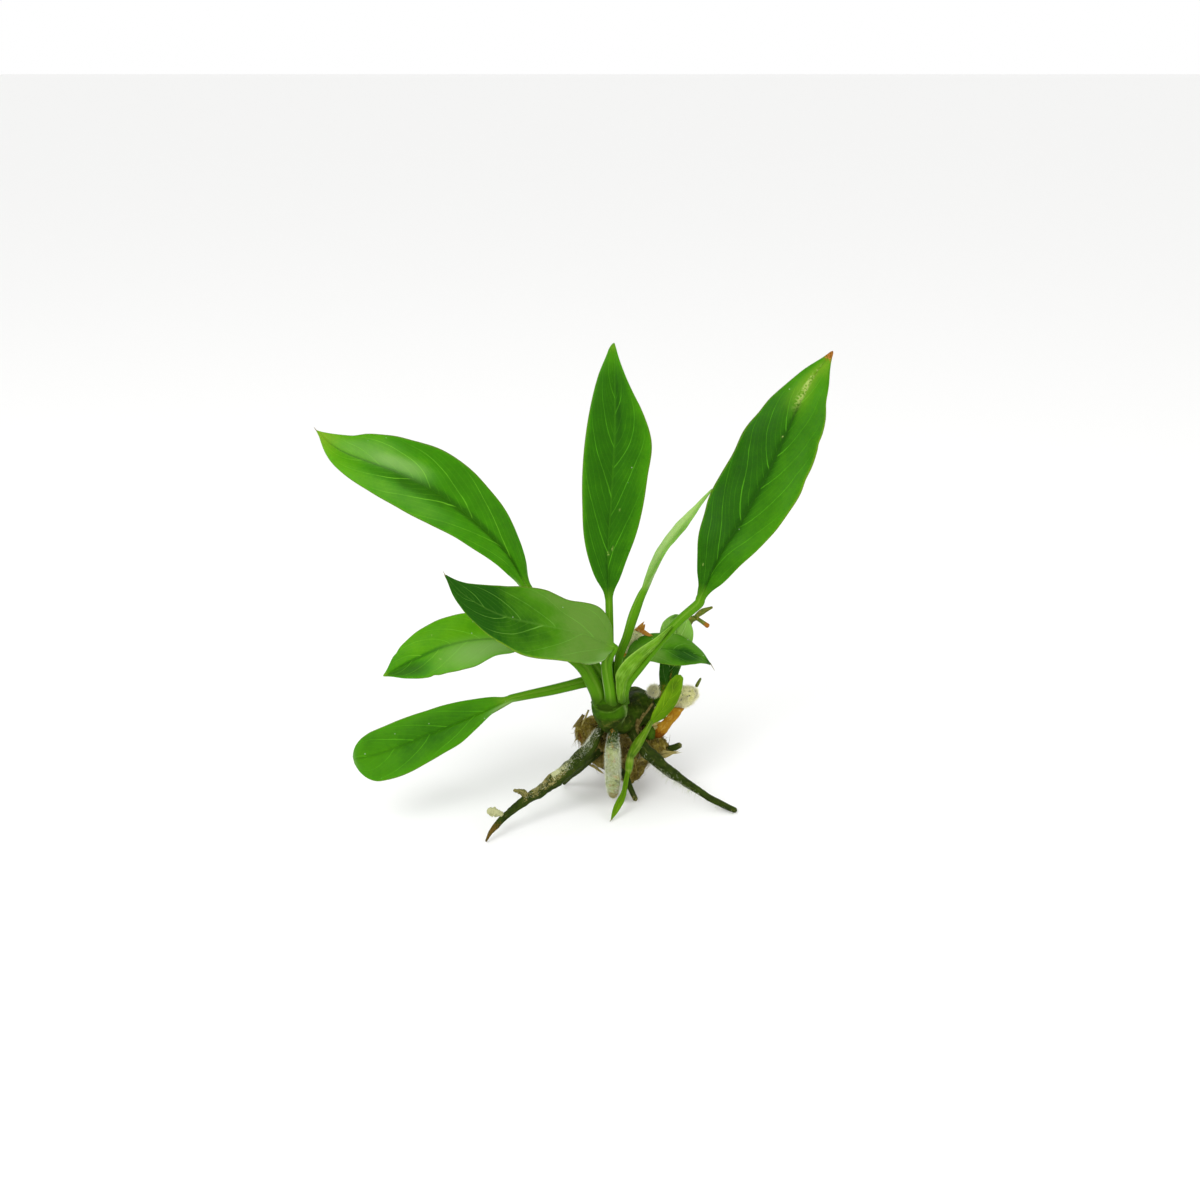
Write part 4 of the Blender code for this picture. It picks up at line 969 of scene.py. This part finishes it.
def rhizome_finish(name):
    """Living rhizome skin: green and smooth on the crown, dark and corky behind and under it. Where a leaf
    came off it has a thin pale papery lip and a few shreds of white membrane. Above the lip a band is painted
    dark olive as shade under the stalks' feet."""
    finish, add, place, marks = new_finish(name, "crown", "shade_band", "lip", "membrane", "knob")
    crown, shade_band, lip, membrane, knob = marks
    blotch = add("TexNoise", (place, 1 / 0.004, 5.0, 0.6))
    fine = add("TexNoise", (place, 1 / 0.0006, 3.0, 0.6))
    tone = add("MapRange", (blotch, 0.35, 0.65))
    scabs = add("TexNoise", (place, 1 / 0.002, 4.0, 0.7))
    scabs = add("MapRange", (scabs, 0.56, 0.68, 0.0, 0.8))
    old = add("Mix", (tone, "1E2A04", "34480A"))
    old = add("Mix", (scabs, old, "5E5428"))
    young = add("Mix", (tone, "2A4E00", "386202"))
    edge = add("MapRange", (blotch, 0.3, 0.7, -0.25, 0.25))
    edge = add("ADD", (crown, edge), use_clamp=True)
    colour = add("Mix", (edge, old, young))
    torn = add("MapRange", (fine, 0.35, 0.6, 0.35))
    # The band is painted dark olive as shade above the lip, under the stalks' feet
    for amount, tint, ragged in ((shade_band, "263E02", False), (knob, "3E640C", True), (lip, "5E7E2E", True),
                                 (membrane, "7E8E58", True)):
        if ragged:
            amount = add("MULTIPLY", (amount, torn))
        colour = add("Mix", (amount, colour, tint))
    gloss = add("MapRange", (fine, 0.3, 0.7, 0.6, 0.8))
    relief = add("MULTIPLY_ADD", (fine, 0.5, blotch))
    return close_finish(finish, add, colour, gloss, 0.06, (0.4, 0.0004, relief))


def felt_finish(name):
    """Rotted fibre: a matt felt of dark brown, brown and tan threads 0.3 to 1 mm wide, with painted black
    shade in its gaps and under the crown, and one rusty spot."""
    finish, add, place, (gap_shade, rust) = new_finish(name, "gap_shade", "rust")
    patches = add("TexNoise", (place, 1 / 0.0045, 3.0, 0.6))
    threads = add("TexNoise", {"Vector": place, "Scale": 1 / 0.0009, "Detail": 5.0, "Roughness": 0.75,
                               "Distortion": 1.5})
    dust = add("TexNoise", (place, 1 / 0.0003, 2.0, 0.6))
    tone = add("MULTIPLY_ADD", (patches, 0.9, threads))
    tone = add("MULTIPLY_ADD", (dust, 0.35, tone))
    ramp = add("ValToRGB", (add("MapRange", (tone, 0.8, 1.4)),))
    ramp.color_ramp.elements[0].color = linear("2A2408")
    ramp.color_ramp.elements[1].color = linear("B0A468")
    for spot, tint in ((0.3, "524612"), (0.62, "7A6C28")):
        ramp.color_ramp.elements.new(spot).color = linear(tint)
    colour = add("Mix", (rust, ramp, "8A4A10"))
    # Black painted shade in the gaps and under the crown
    colour = add("Mix", (gap_shade, colour, "0A0B00"))
    return close_finish(finish, add, colour, 0.9, 0.08, (0.8, 0.0005, tone))


def strand_finish(name, dark, light, see_through):
    """Fine hairs, fibres or torn scales, each with its own tone, mottled every 0.6 mm along their length.
    They let light through."""
    finish, add, place, (tint,) = new_finish(name, "tint")
    mottle = add("TexNoise", (place, 1 / 0.0006, 2.0))
    mottle = add("MapRange", (mottle, 0.3, 0.7, -0.2, 0.2))
    tone = add("ADD", (tint, mottle), use_clamp=True)
    colour = add("Mix", (tone, dark, light))
    flesh = {"Subsurface Weight": see_through, "Subsurface Radius": (1.0, 1.0, 0.8),
             "Subsurface Scale": 0.0004}
    return close_finish(finish, add, colour, 0.65, 0.15, flesh=flesh)


# The colours of the marked places on roots, dry stalks and the twig
ROOT_MARKS = {"green": "203404", "crust": "847C4A", "brown": "5A4616", "pale_spot": "ACAE80"}
DRY_MARKS = {"brown": "6A3C02", "cream": "B4BA80"}
TWIG_MARKS = {"brown": "96601E", "dark": "2E2A08"}

# A leaf finish has its deep, middle and bright green, its vein, its underside, and a stalk if that differs
FINISHES = {
    "bright_leaf": leaf_finish("bright_green_leaf", "275C00", "367800", "519004", "6AAE24", "568428"),
    "dark_leaf": leaf_finish("deep_green_leaf", "1C4C00", "275F00", "3C7A02", "529C16", "46702C"),
    # The grey green leaf's bright green is greyed as a painted satin sheen
    "grey_leaf": leaf_finish("green_leaf_painted_grey_sheen", "1A4C00", "3F7606", "587F2C", "629634", "587E3C"),
    "pale_leaf": leaf_finish("pale_green_leaf", "245606", "6A9A38", "94BC5A", "B0CC80", "90AE66", "4E8408"),
    "young_shoot": leaf_finish("young_yellow_green_leaf", "426600", "527A00", "6E920E", "86A824", "688814",
                               "527A00"),
    "stem": stem_finish("young_green_stem", "3C5E02", "527A04", "8CA040"),
    "sheath": stem_finish("thin_green_sheath", "4A7606", "5E8E14", "8CB848"),
    "rhizome": rhizome_finish("green_rhizome_skin"),
    "root": skin_finish("dark_root_skin", "1C2803", "2C3C06", "5E602E", 3.0, 0.3, ROOT_MARKS),
    "pale_root": skin_finish("hairy_root_skin", "74804A", "9CA66C", "BEC694", 1.4, 0.6,
                             {**ROOT_MARKS, "orange": "9A6A28"}),
    "cream_root": skin_finish("cream_root_skin", "B8B870", "D0CE8C", "E8E6B4", 1.4, 0.6, ROOT_MARKS),
    "dry": skin_finish("dry_brown_stalk", "92620C", "AA7E1E", "C2A450", 2.0, 0.5, DRY_MARKS),
    "dry_green": skin_finish("dry_green_twig", "465412", "627226", "8E7A38", 1.6, 0.5, TWIG_MARKS),
    "felt": felt_finish("rotted_brown_felt"),
    "root_hair": strand_finish("white_root_hair", "96A468", "F2F6DC", 0.4),
    "ball_hair": strand_finish("cream_root_hair", "D8D68A", "FDFACC", 0.5),
    "fibre": strand_finish("brown_dead_fibre", "4A3E12", "AC9A58", 0.1),
    "scale": strand_finish("torn_papery_scale", "4A3C10", "A09458", 0.2),
    "rusty_scale": strand_finish("torn_rusty_scale", "8A5A14", "C48A38", 0.2),
}


def add_leaves():
    """The leaves of the crown and of the side shoot, each one skin up to its tip."""
    for name, leaf in LEAVES.items():
        piece(name + "_skin", leaf_skin(name, leaf), leaf["finish"], leaf["finish"], name + "_blade",
              name + "_stalk")
    for name, leaf in SHOOT_LEAVES.items():
        piece(name + "_skin", leaf_skin(name, leaf), "young_shoot", "young_shoot", name)


def add_leaf_points():
    """The fine dry points at the tips of some leaves, each rooted a little way inside its leaf."""
    leaves = {**LEAVES, **SHOOT_LEAVES}
    names, ways, lengths = zip(*LEAF_POINTS)
    ways, each = np.array(ways, float), np.ones(len(names))
    starts = np.array([leaves[name]["midrib"][-1] for name in names]) - POINT_ROOTED * unit(ways)
    points = joined("leaf_points", strand(8, 4), starts, ways, 0 * ways, np.array(lengths) + POINT_ROOTED,
                    POINT_WIDTH * each, POINT_DEPTH * each, 0.35 * each)
    piece("leaf_points", points, "scale", "pale_leaf")


def add_shoot():
    """The side shoot's stem, its node with the pale rings of leaf scars, and the right leaf's sheath."""
    def stem_shade(along, out, spots):
        return {"foot": 0.35 * fade(along, 0.78, 0.9)}

    def node_shade(along, out, spots):
        return {"foot": 0.35 * fade(along, 0.26, 0.12),
                "rim": 0.45 * bell(along, 0.34, 0.09) + 0.4 * bell(along, 0.78, 0.06)}

    for (name, (points, radii)), shade in zip(SHOOT_STEMS.items(), (stem_shade, node_shade)):
        skin, _ = root_skin(name, points, radii, lumps=0.03, step=0.3, columns=32, shade=shade)
        piece(name + "_skin", skin, "stem", "young_shoot", name)
    piece("right_leaf_sheath_skin", sheath_skin("right_leaf_sheath"), "sheath", "leaf_sheath",
          "right_leaf_sheath")


def grown_rhizome():
    """The rhizome's round body and its knobs, grown together into one skin."""
    line, radii = np.array([p for p, r in RHIZOME], float), [r for p, r in RHIZOME]
    run = np.concatenate(([0], np.cumsum(np.linalg.norm(np.diff(line, axis=0), axis=1))))
    even = np.interp(np.linspace(0, run[-1], 60), run, radii)
    body, _ = root_skin("rhizome_body", line, even, lumps=0.04, step=0.6, columns=60)
    whole = bmesh.new()
    whole.from_mesh(body)
    for centre, half in RHIZOME_LUMPS:
        knob = bmesh.ops.create_icosphere(whole, subdivisions=4, radius=MM)["verts"]
        bmesh.ops.scale(whole, vec=half, verts=knob)
        bmesh.ops.translate(whole, vec=(np.array(centre) + STAND) * MM, verts=knob)
    rough = placed("rhizome_rough", as_mesh(whole, "rhizome_rough"))
    grown = rough.modifiers.new("grown_together", "REMESH")
    grown.mode = "VOXEL"
    grown.voxel_size = RHIZOME_STEP * MM
    bpy.context.view_layer.update()
    skin = bpy.data.meshes.new_from_object(rough.evaluated_get(bpy.context.evaluated_depsgraph_get()))
    bpy.data.objects.remove(rough, do_unlink=True)
    return skin


def add_rhizome():
    """The crown and rhizome, with what a fallen leaf left: a lip and a shred of membrane, and a band of
    painted shade above the lip.
    """
    skin = grown_rhizome()
    points = positions(skin) / MM - STAND
    normals = np.empty(len(points) * 3, np.float32)
    skin.vertices.foreach_get("normal", normals)
    normals = normals.reshape(-1, 3)
    x, y, z = points.T

    crown = fade(z, 34, 37) * (np.hypot(x, y) < 9)
    front = fade(y, 1.5, -1.5)
    lip_height = np.interp(x, *LIP) * front + np.interp(x, *LIP_BEHIND) * (1 - front)
    above = z - lip_height + 0.15 * unevenness(points, 1.5)
    # A band above the lip, under the stalks' feet, is painted as shade
    shade_band_top = 0.6 + 2.2 * bell(x, -1.5, 4.5) * front
    shade_band = crown * fade(above, 0.0, 0.25) * fade(above, shade_band_top + 0.5, shade_band_top - 0.3)
    lip = crown * bell(above, -0.1, 0.2)
    membrane = (bell(x, np.interp(z, *MEMBRANE), 0.4) * fade(z, 33.0, 34.2) * fade(z, 41.8, 41)
                * (y < -1) * (z > 30))
    young = bell(np.linalg.norm(points - GREEN_KNOB, axis=1), 0, 3.2)
    ring = 0.35 * lip - 0.45 * crown * bell(above, 0.55, 0.4) + 0.3 * membrane
    bumps = 0.35 * unevenness(points, 3.2) + 0.16 * unevenness(points, 1.0) + 0.06 * unevenness(points, 0.4)
    bumps = bumps * (1 - 0.8 * fade(z, 37, 40))
    put(skin, points + normals * (ring + bumps)[:, None],
        {"crown": crown * fade(z, 34.0, 38.0), "shade_band": 0.9 * shade_band, "lip": 0.6 * lip,
         "membrane": 0.6 * membrane, "knob": young})
    piece("rhizome_skin", skin, "rhizome", "rhizome_skin", "rhizome")


def add_roots():
    """The roots, with their crust, frost and torn ends, and the white hairs that some of them carry."""
    dice = np.random.default_rng(11)
    upper_left = unit(np.array((-0.45, -0.1, 0.85)))

    def right_root_shade(along, out, spots):
        spot = np.linalg.norm(spots - PALE_SPOT, axis=1)
        torn = np.linalg.norm(spots - (PALE_SPOT - (1.6, 0, 1.6)), axis=1)
        return {"pale_spot": 1.2 * bell(spot, 0, 1.1),
                "crust": 0.9 * bell(torn, 0, 1.5) + 0.4 * fade(along, 0.93, 1)}

    def left_root_shade(along, out, spots):
        crusty = fade(along, 0.26, 0.42) * fade(along, 0.76, 0.62) * fade(out[:, 2], -0.4, 0.5)
        frost = fade(out @ upper_left, 0.1, 0.8) * fade(along, 0.52, 0.34)
        cream = 0.3 * crusty * fade(unevenness(spots, 2.2), -0.1, 0.3)
        scab = bell(np.linalg.norm(spots - CREAM_SCAB, axis=1), 0, 1.7)
        return {"crust": 0.5 * crusty * (1 + 0.6 * unevenness(spots, 2.0)),
                "pale_spot": 0.34 * frost + cream + scab,
                "green": 0.4 * bell(along, 0.78, 0.08), "brown": 0.62 * fade(along, 0.8, 0.92)}

    def front_root_shade(along, out, spots):
        top = 0.8 * fade(along, 0.5, 0.08)
        return {"green": np.maximum(top, 0.3) + 0.2 * unevenness(spots, 1.5),
                "crust": 0.9 * fade(along, 0.82, 0.93),
                "orange": 0.34 * fade(unevenness(spots + 9, 2.0), -0.1, 0.3)}

    def speckled_shade(along, out, spots):
        return {"green": 0.9 * fade(unevenness(spots, 1.4), 0.1, 0.4)}

    shades = {
        "left_branch_root": lambda along, out, spots: {"crust": 0.35 * fade(along, 0.5, 0.9)},
        "right_root": right_root_shade,
        "short_root": lambda along, out, spots: {"crust": 0.5 * fade(along, 0.5, 1.0)},
        "right_stub_root": lambda along, out, spots: {"crust": 0.5 * fade(along, 0.75, 1.0)},
        "left_root_nub": lambda along, out, spots: {"pale_spot": 0.75,
                                                    "brown": 0.28 + 0.35 * fade(along, 0.85, 1.0)},
        "left_root_spur": lambda along, out, spots: {"crust": 0.55},
        "left_root": left_root_shade,
        "front_root": front_root_shade,
        "fuzzy_right_root": speckled_shade,
        "fuzzy_back_root": speckled_shade,
    }
    torn = dict(lumps=0.4, ragged=1.0, step=0.2)
    shapes = {
        "left_root_nub": torn,
        "left_root_spur": torn,
        "left_root": dict(lumps=0.2, core=0.78, sunk=0.15),
        "front_root": dict(lumps=0.12, core=0.86),
        "fuzzy_right_root": dict(lumps=0.12, core=0.8),
        "fuzzy_back_root": dict(lumps=0.12, core=0.8),
    }
    ball = dict(finish="ball_hair", lengths=(0.4, 1.2), thickness=0.06, core=0.8, droop=0.0,
                weight=lambda out, along: fade(along, 0.15, 0.35))
    hairy = {
        "right_root": dict(
            count=520, lengths=(0.8, 2.6), thickness=0.045,
            weight=lambda out, along: (0.15 + bell(along, 0.52, 0.14)) * fade(out[:, 2], 0.5, -0.2)),
        "left_root": dict(
            count=5200, lengths=(0.35, 1.0), thickness=0.045, core=0.7, sunk=0.2,
            weight=lambda out, along: fade(out @ upper_left, 0.25, 0.8) * fade(along, 0.02, 0.1)
            * (fade(along, 0.5, 0.3) + 0.25 * fade(along, 0.7, 0.6)),
            tone=lambda along: 0.8 - 0.5 * fade(along, 0.4, 0.55)),
        "front_root": dict(
            count=7000, lengths=(0.3, 0.75), thickness=0.055, core=0.86, droop=0.0, lean=0.3,
            weight=lambda out, along: fade(along, 0.05, 0.4) * (1 - 0.75 * fade(along, 0.86, 0.95)),
            tone=lambda along: 0.85 - 0.55 * fade(along, 0.8, 1.0)),
        "fuzzy_right_root": dict(ball, count=10000, tone=lambda along: 0.85),
        "fuzzy_back_root": dict(ball, count=3000, tone=lambda along: 0.9),
    }
    finishes = {"front_root": "pale_root", "fuzzy_right_root": "cream_root", "fuzzy_back_root": "cream_root"}
    for name, (points, radii) in ROOTS.items():
        skin, tube = root_skin(name, points, radii, shade=shades.get(name), **shapes.get(name, {}))
        finish = finishes.get(name, "root")
        piece(name + "_skin", skin, finish, "root_skin" if finish == "root" else "root_hairs", name)
        if name in hairy:
            add_hairs(name, tube, dice, **hairy[name])


def add_dry_stalks():
    """The dry stalks: two that were cut off level, the one at the back with white fuzz, and a twig."""
    dice = np.random.default_rng(17)
    shades = {
        # The old cut stalk is painted darker brown on its left and right flanks as shade, and is darker brown
        # towards its lower end
        "old_cut_stalk": lambda along, out, spots: {"brown": 0.8 * fade(np.abs(out[:, 0]), 0.75, 0.98)
                                                    + 0.8 * fade(along, 0.4, 0.1)},
        "old_back_stalk": lambda along, out, spots: {"cream": 1.2 * fade(along, 0.66, 0.74)},
        "dry_twig_lower_tip": lambda along, out, spots: {"brown": 0.9 * fade(along, 0.5, 0.75)},
        "fuzzy_root_point": lambda along, out, spots: {"dark": 0.4},
    }
    shapes = {"old_cut_stalk": dict(cut_at=36.8, deep=0.6), "old_back_stalk": dict(cut_at=64.6)}
    for name, (points, radii) in DRY_STALKS.items():
        skin, tube = root_skin(name, points, radii, step=0.4, shade=shades.get(name), **shapes.get(name, {}))
        piece(name + "_skin", skin, "dry" if name.startswith("old") else "dry_green", "dry_stalk", name)
        if name == "old_back_stalk":
            add_hairs(name, tube, dice, count=3600, lengths=(0.5, 1.5), thickness=0.05, finish="ball_hair",
                      core=0.9, weight=lambda out, along: fade(along, 0.7, 0.78), tone=lambda along: 0.8)


def clump_surface(ways):
    """The clump's surface in each direction from its middle."""
    reach = ways * CLUMP_HALF
    swell = 1.3 * unevenness(reach, 8.0)
    for direction, length in CLUMP_TUFTS:
        swell = swell + length * np.clip(ways @ unit(np.array(direction, float)), 0, None) ** 14
    return CLUMP_CENTRE + reach + ways * swell[:, None]


def add_clump():
    """A rotted mass: a felt of short hairs with fibres and torn papery flakes that lie over it."""
    dice = np.random.default_rng(5)
    ball = bmesh.new()
    bmesh.ops.create_icosphere(ball, subdivisions=7, radius=1)
    mesh = as_mesh(ball, "fibre_clump")
    ways = unit(positions(mesh))
    surface = clump_surface(ways)
    pits = fade(unevenness(surface, 2.6), 0.12, 0.5)
    depth = (0.7 * unevenness(surface / (1.3, 1.3, 3.0), 1.0) + 0.6 * unevenness(surface, 2.2)
             + 0.3 * unevenness(surface, 0.7) - 0.6 - 1.4 * pits)
    # Painted black shade in the pits and under the crown
    under_crown = bell(np.linalg.norm(surface - CROWN_SHADE, axis=1), 0, 6.5)
    rust = bell(np.linalg.norm(surface - RUSTY_SPOT, axis=1), 0, 1.5)
    put(mesh, surface + ways * depth[:, None],
        {"gap_shade": np.clip(0.55 * pits + under_crown, 0, 1), "rust": rust})
    piece("fibre_clump_skin", mesh, "felt", "dead_fibre", "fibre_clump")

    def lay(name, pattern, finish, count, lengths, rise, curl, widths, thickness=None):
        """Fibres or flakes at random places of the clump, mostly hanging down and bent back to its
        surface."""
        out = unit(dice.normal(0, 1, (count, 3)))
        down = np.array((0, 0, -0.7)) + dice.normal(0, 0.8, (count, 3))
        along = unit(down - out * np.sum(down * out, axis=1, keepdims=True))
        length = dice.uniform(*lengths, count)
        run = unit(along + out * dice.uniform(*rise, count)[:, None])
        bends = -out * (length ** 2 * curl)[:, None] + dice.normal(0, 0.14, (count, 3)) * length[:, None]
        width = dice.uniform(*widths, count)
        deep = width if thickness is None else np.full(count, thickness)
        tint = dice.random(count) ** 1.4
        starts = clump_surface(out) - out * FIBRE_ROOTED
        layer = joined(name, pattern, starts, run, bends, length, width, deep, tint, out)
        piece(name, layer, finish, "dead_fibre")

    lay("clump_felt", strand(3, 2), "fibre", count=9000, lengths=(0.6, 1.6), rise=(0.1, 1.0), curl=0.02,
        widths=(0.05, 0.12))
    lay("clump_fibres", strand(3, 4), "fibre", count=1100, lengths=(2.0, 6.5), rise=(-0.1, 0.35), curl=1 / 38,
        widths=(0.06, 0.16))
    lay("clump_flakes", flake(), "scale", count=220, lengths=(1.0, 2.8), rise=(0.0, 0.4), curl=1 / 20,
        widths=(0.2, 0.5), thickness=0.05)

    for name, finish, slot, chosen in (
            ("torn_scales", "scale", "dead_fibre", [s for s in SCALES if s[5] > 0]),
            ("old_stalk_flakes", "rusty_scale", "dry_stalk", [s for s in SCALES if s[5] == 0])):
        starts, ways, lengths, widths, bends, tint = (np.array(column, float) for column in zip(*chosen))
        depths = np.full(len(chosen), SCALE_THICKNESS)
        scales = joined(name, flake(), starts, ways, bends, lengths, widths, depths,
                        np.where(tint > 0, tint, 0.4), (0, -1.0, 0.35))
        piece(name, scales, finish, slot)


def add_studio():
    """A white floor and room, a soft key light, a weak fill light, and the camera at the photo's angle."""
    sheet = bmesh.new()
    bmesh.ops.create_grid(sheet, x_segments=1, y_segments=1, size=FLOOR_HALF)
    floor = placed("floor", as_mesh(sheet, "floor"))
    finish, add, _, _ = new_finish("white_studio_floor")
    paint = add("BsdfPrincipled", {"Base Color": "F4F4F3", "Roughness": 0.85})
    add("OutputMaterial", (paint,))
    floor.data.materials.append(finish)

    world = bpy.data.worlds.new("white_room")
    bpy.context.scene.world = world
    world.use_nodes = True
    world.node_tree.nodes["Background"].inputs["Color"].default_value = (1, 1, 1, 1)
    world.node_tree.nodes["Background"].inputs["Strength"].default_value = 1.0

    for name, place, size, power in LAMPS:
        lamp = bpy.data.lights.new(name, "AREA")
        lamp.size = size
        lamp.energy = power
        light = placed(name, lamp)
        light.location = place
        light.rotation_euler = (Vector(LIT_SPOT) - Vector(place)).to_track_quat("-Z", "Y").to_euler()

    lens = bpy.data.cameras.new("camera")
    lens.lens = LENS_MM
    lens.sensor_width = SENSOR_MM
    camera = placed("camera", lens)
    camera.location = CAMERA_PLACE
    camera.rotation_euler = (math.radians(CAMERA_TILT), 0, 0)
    bpy.context.scene.camera = camera
    bpy.context.scene.view_settings.view_transform = "Standard"


add_leaves()
add_leaf_points()
add_shoot()
add_rhizome()
add_roots()
add_dry_stalks()
add_clump()
add_studio()
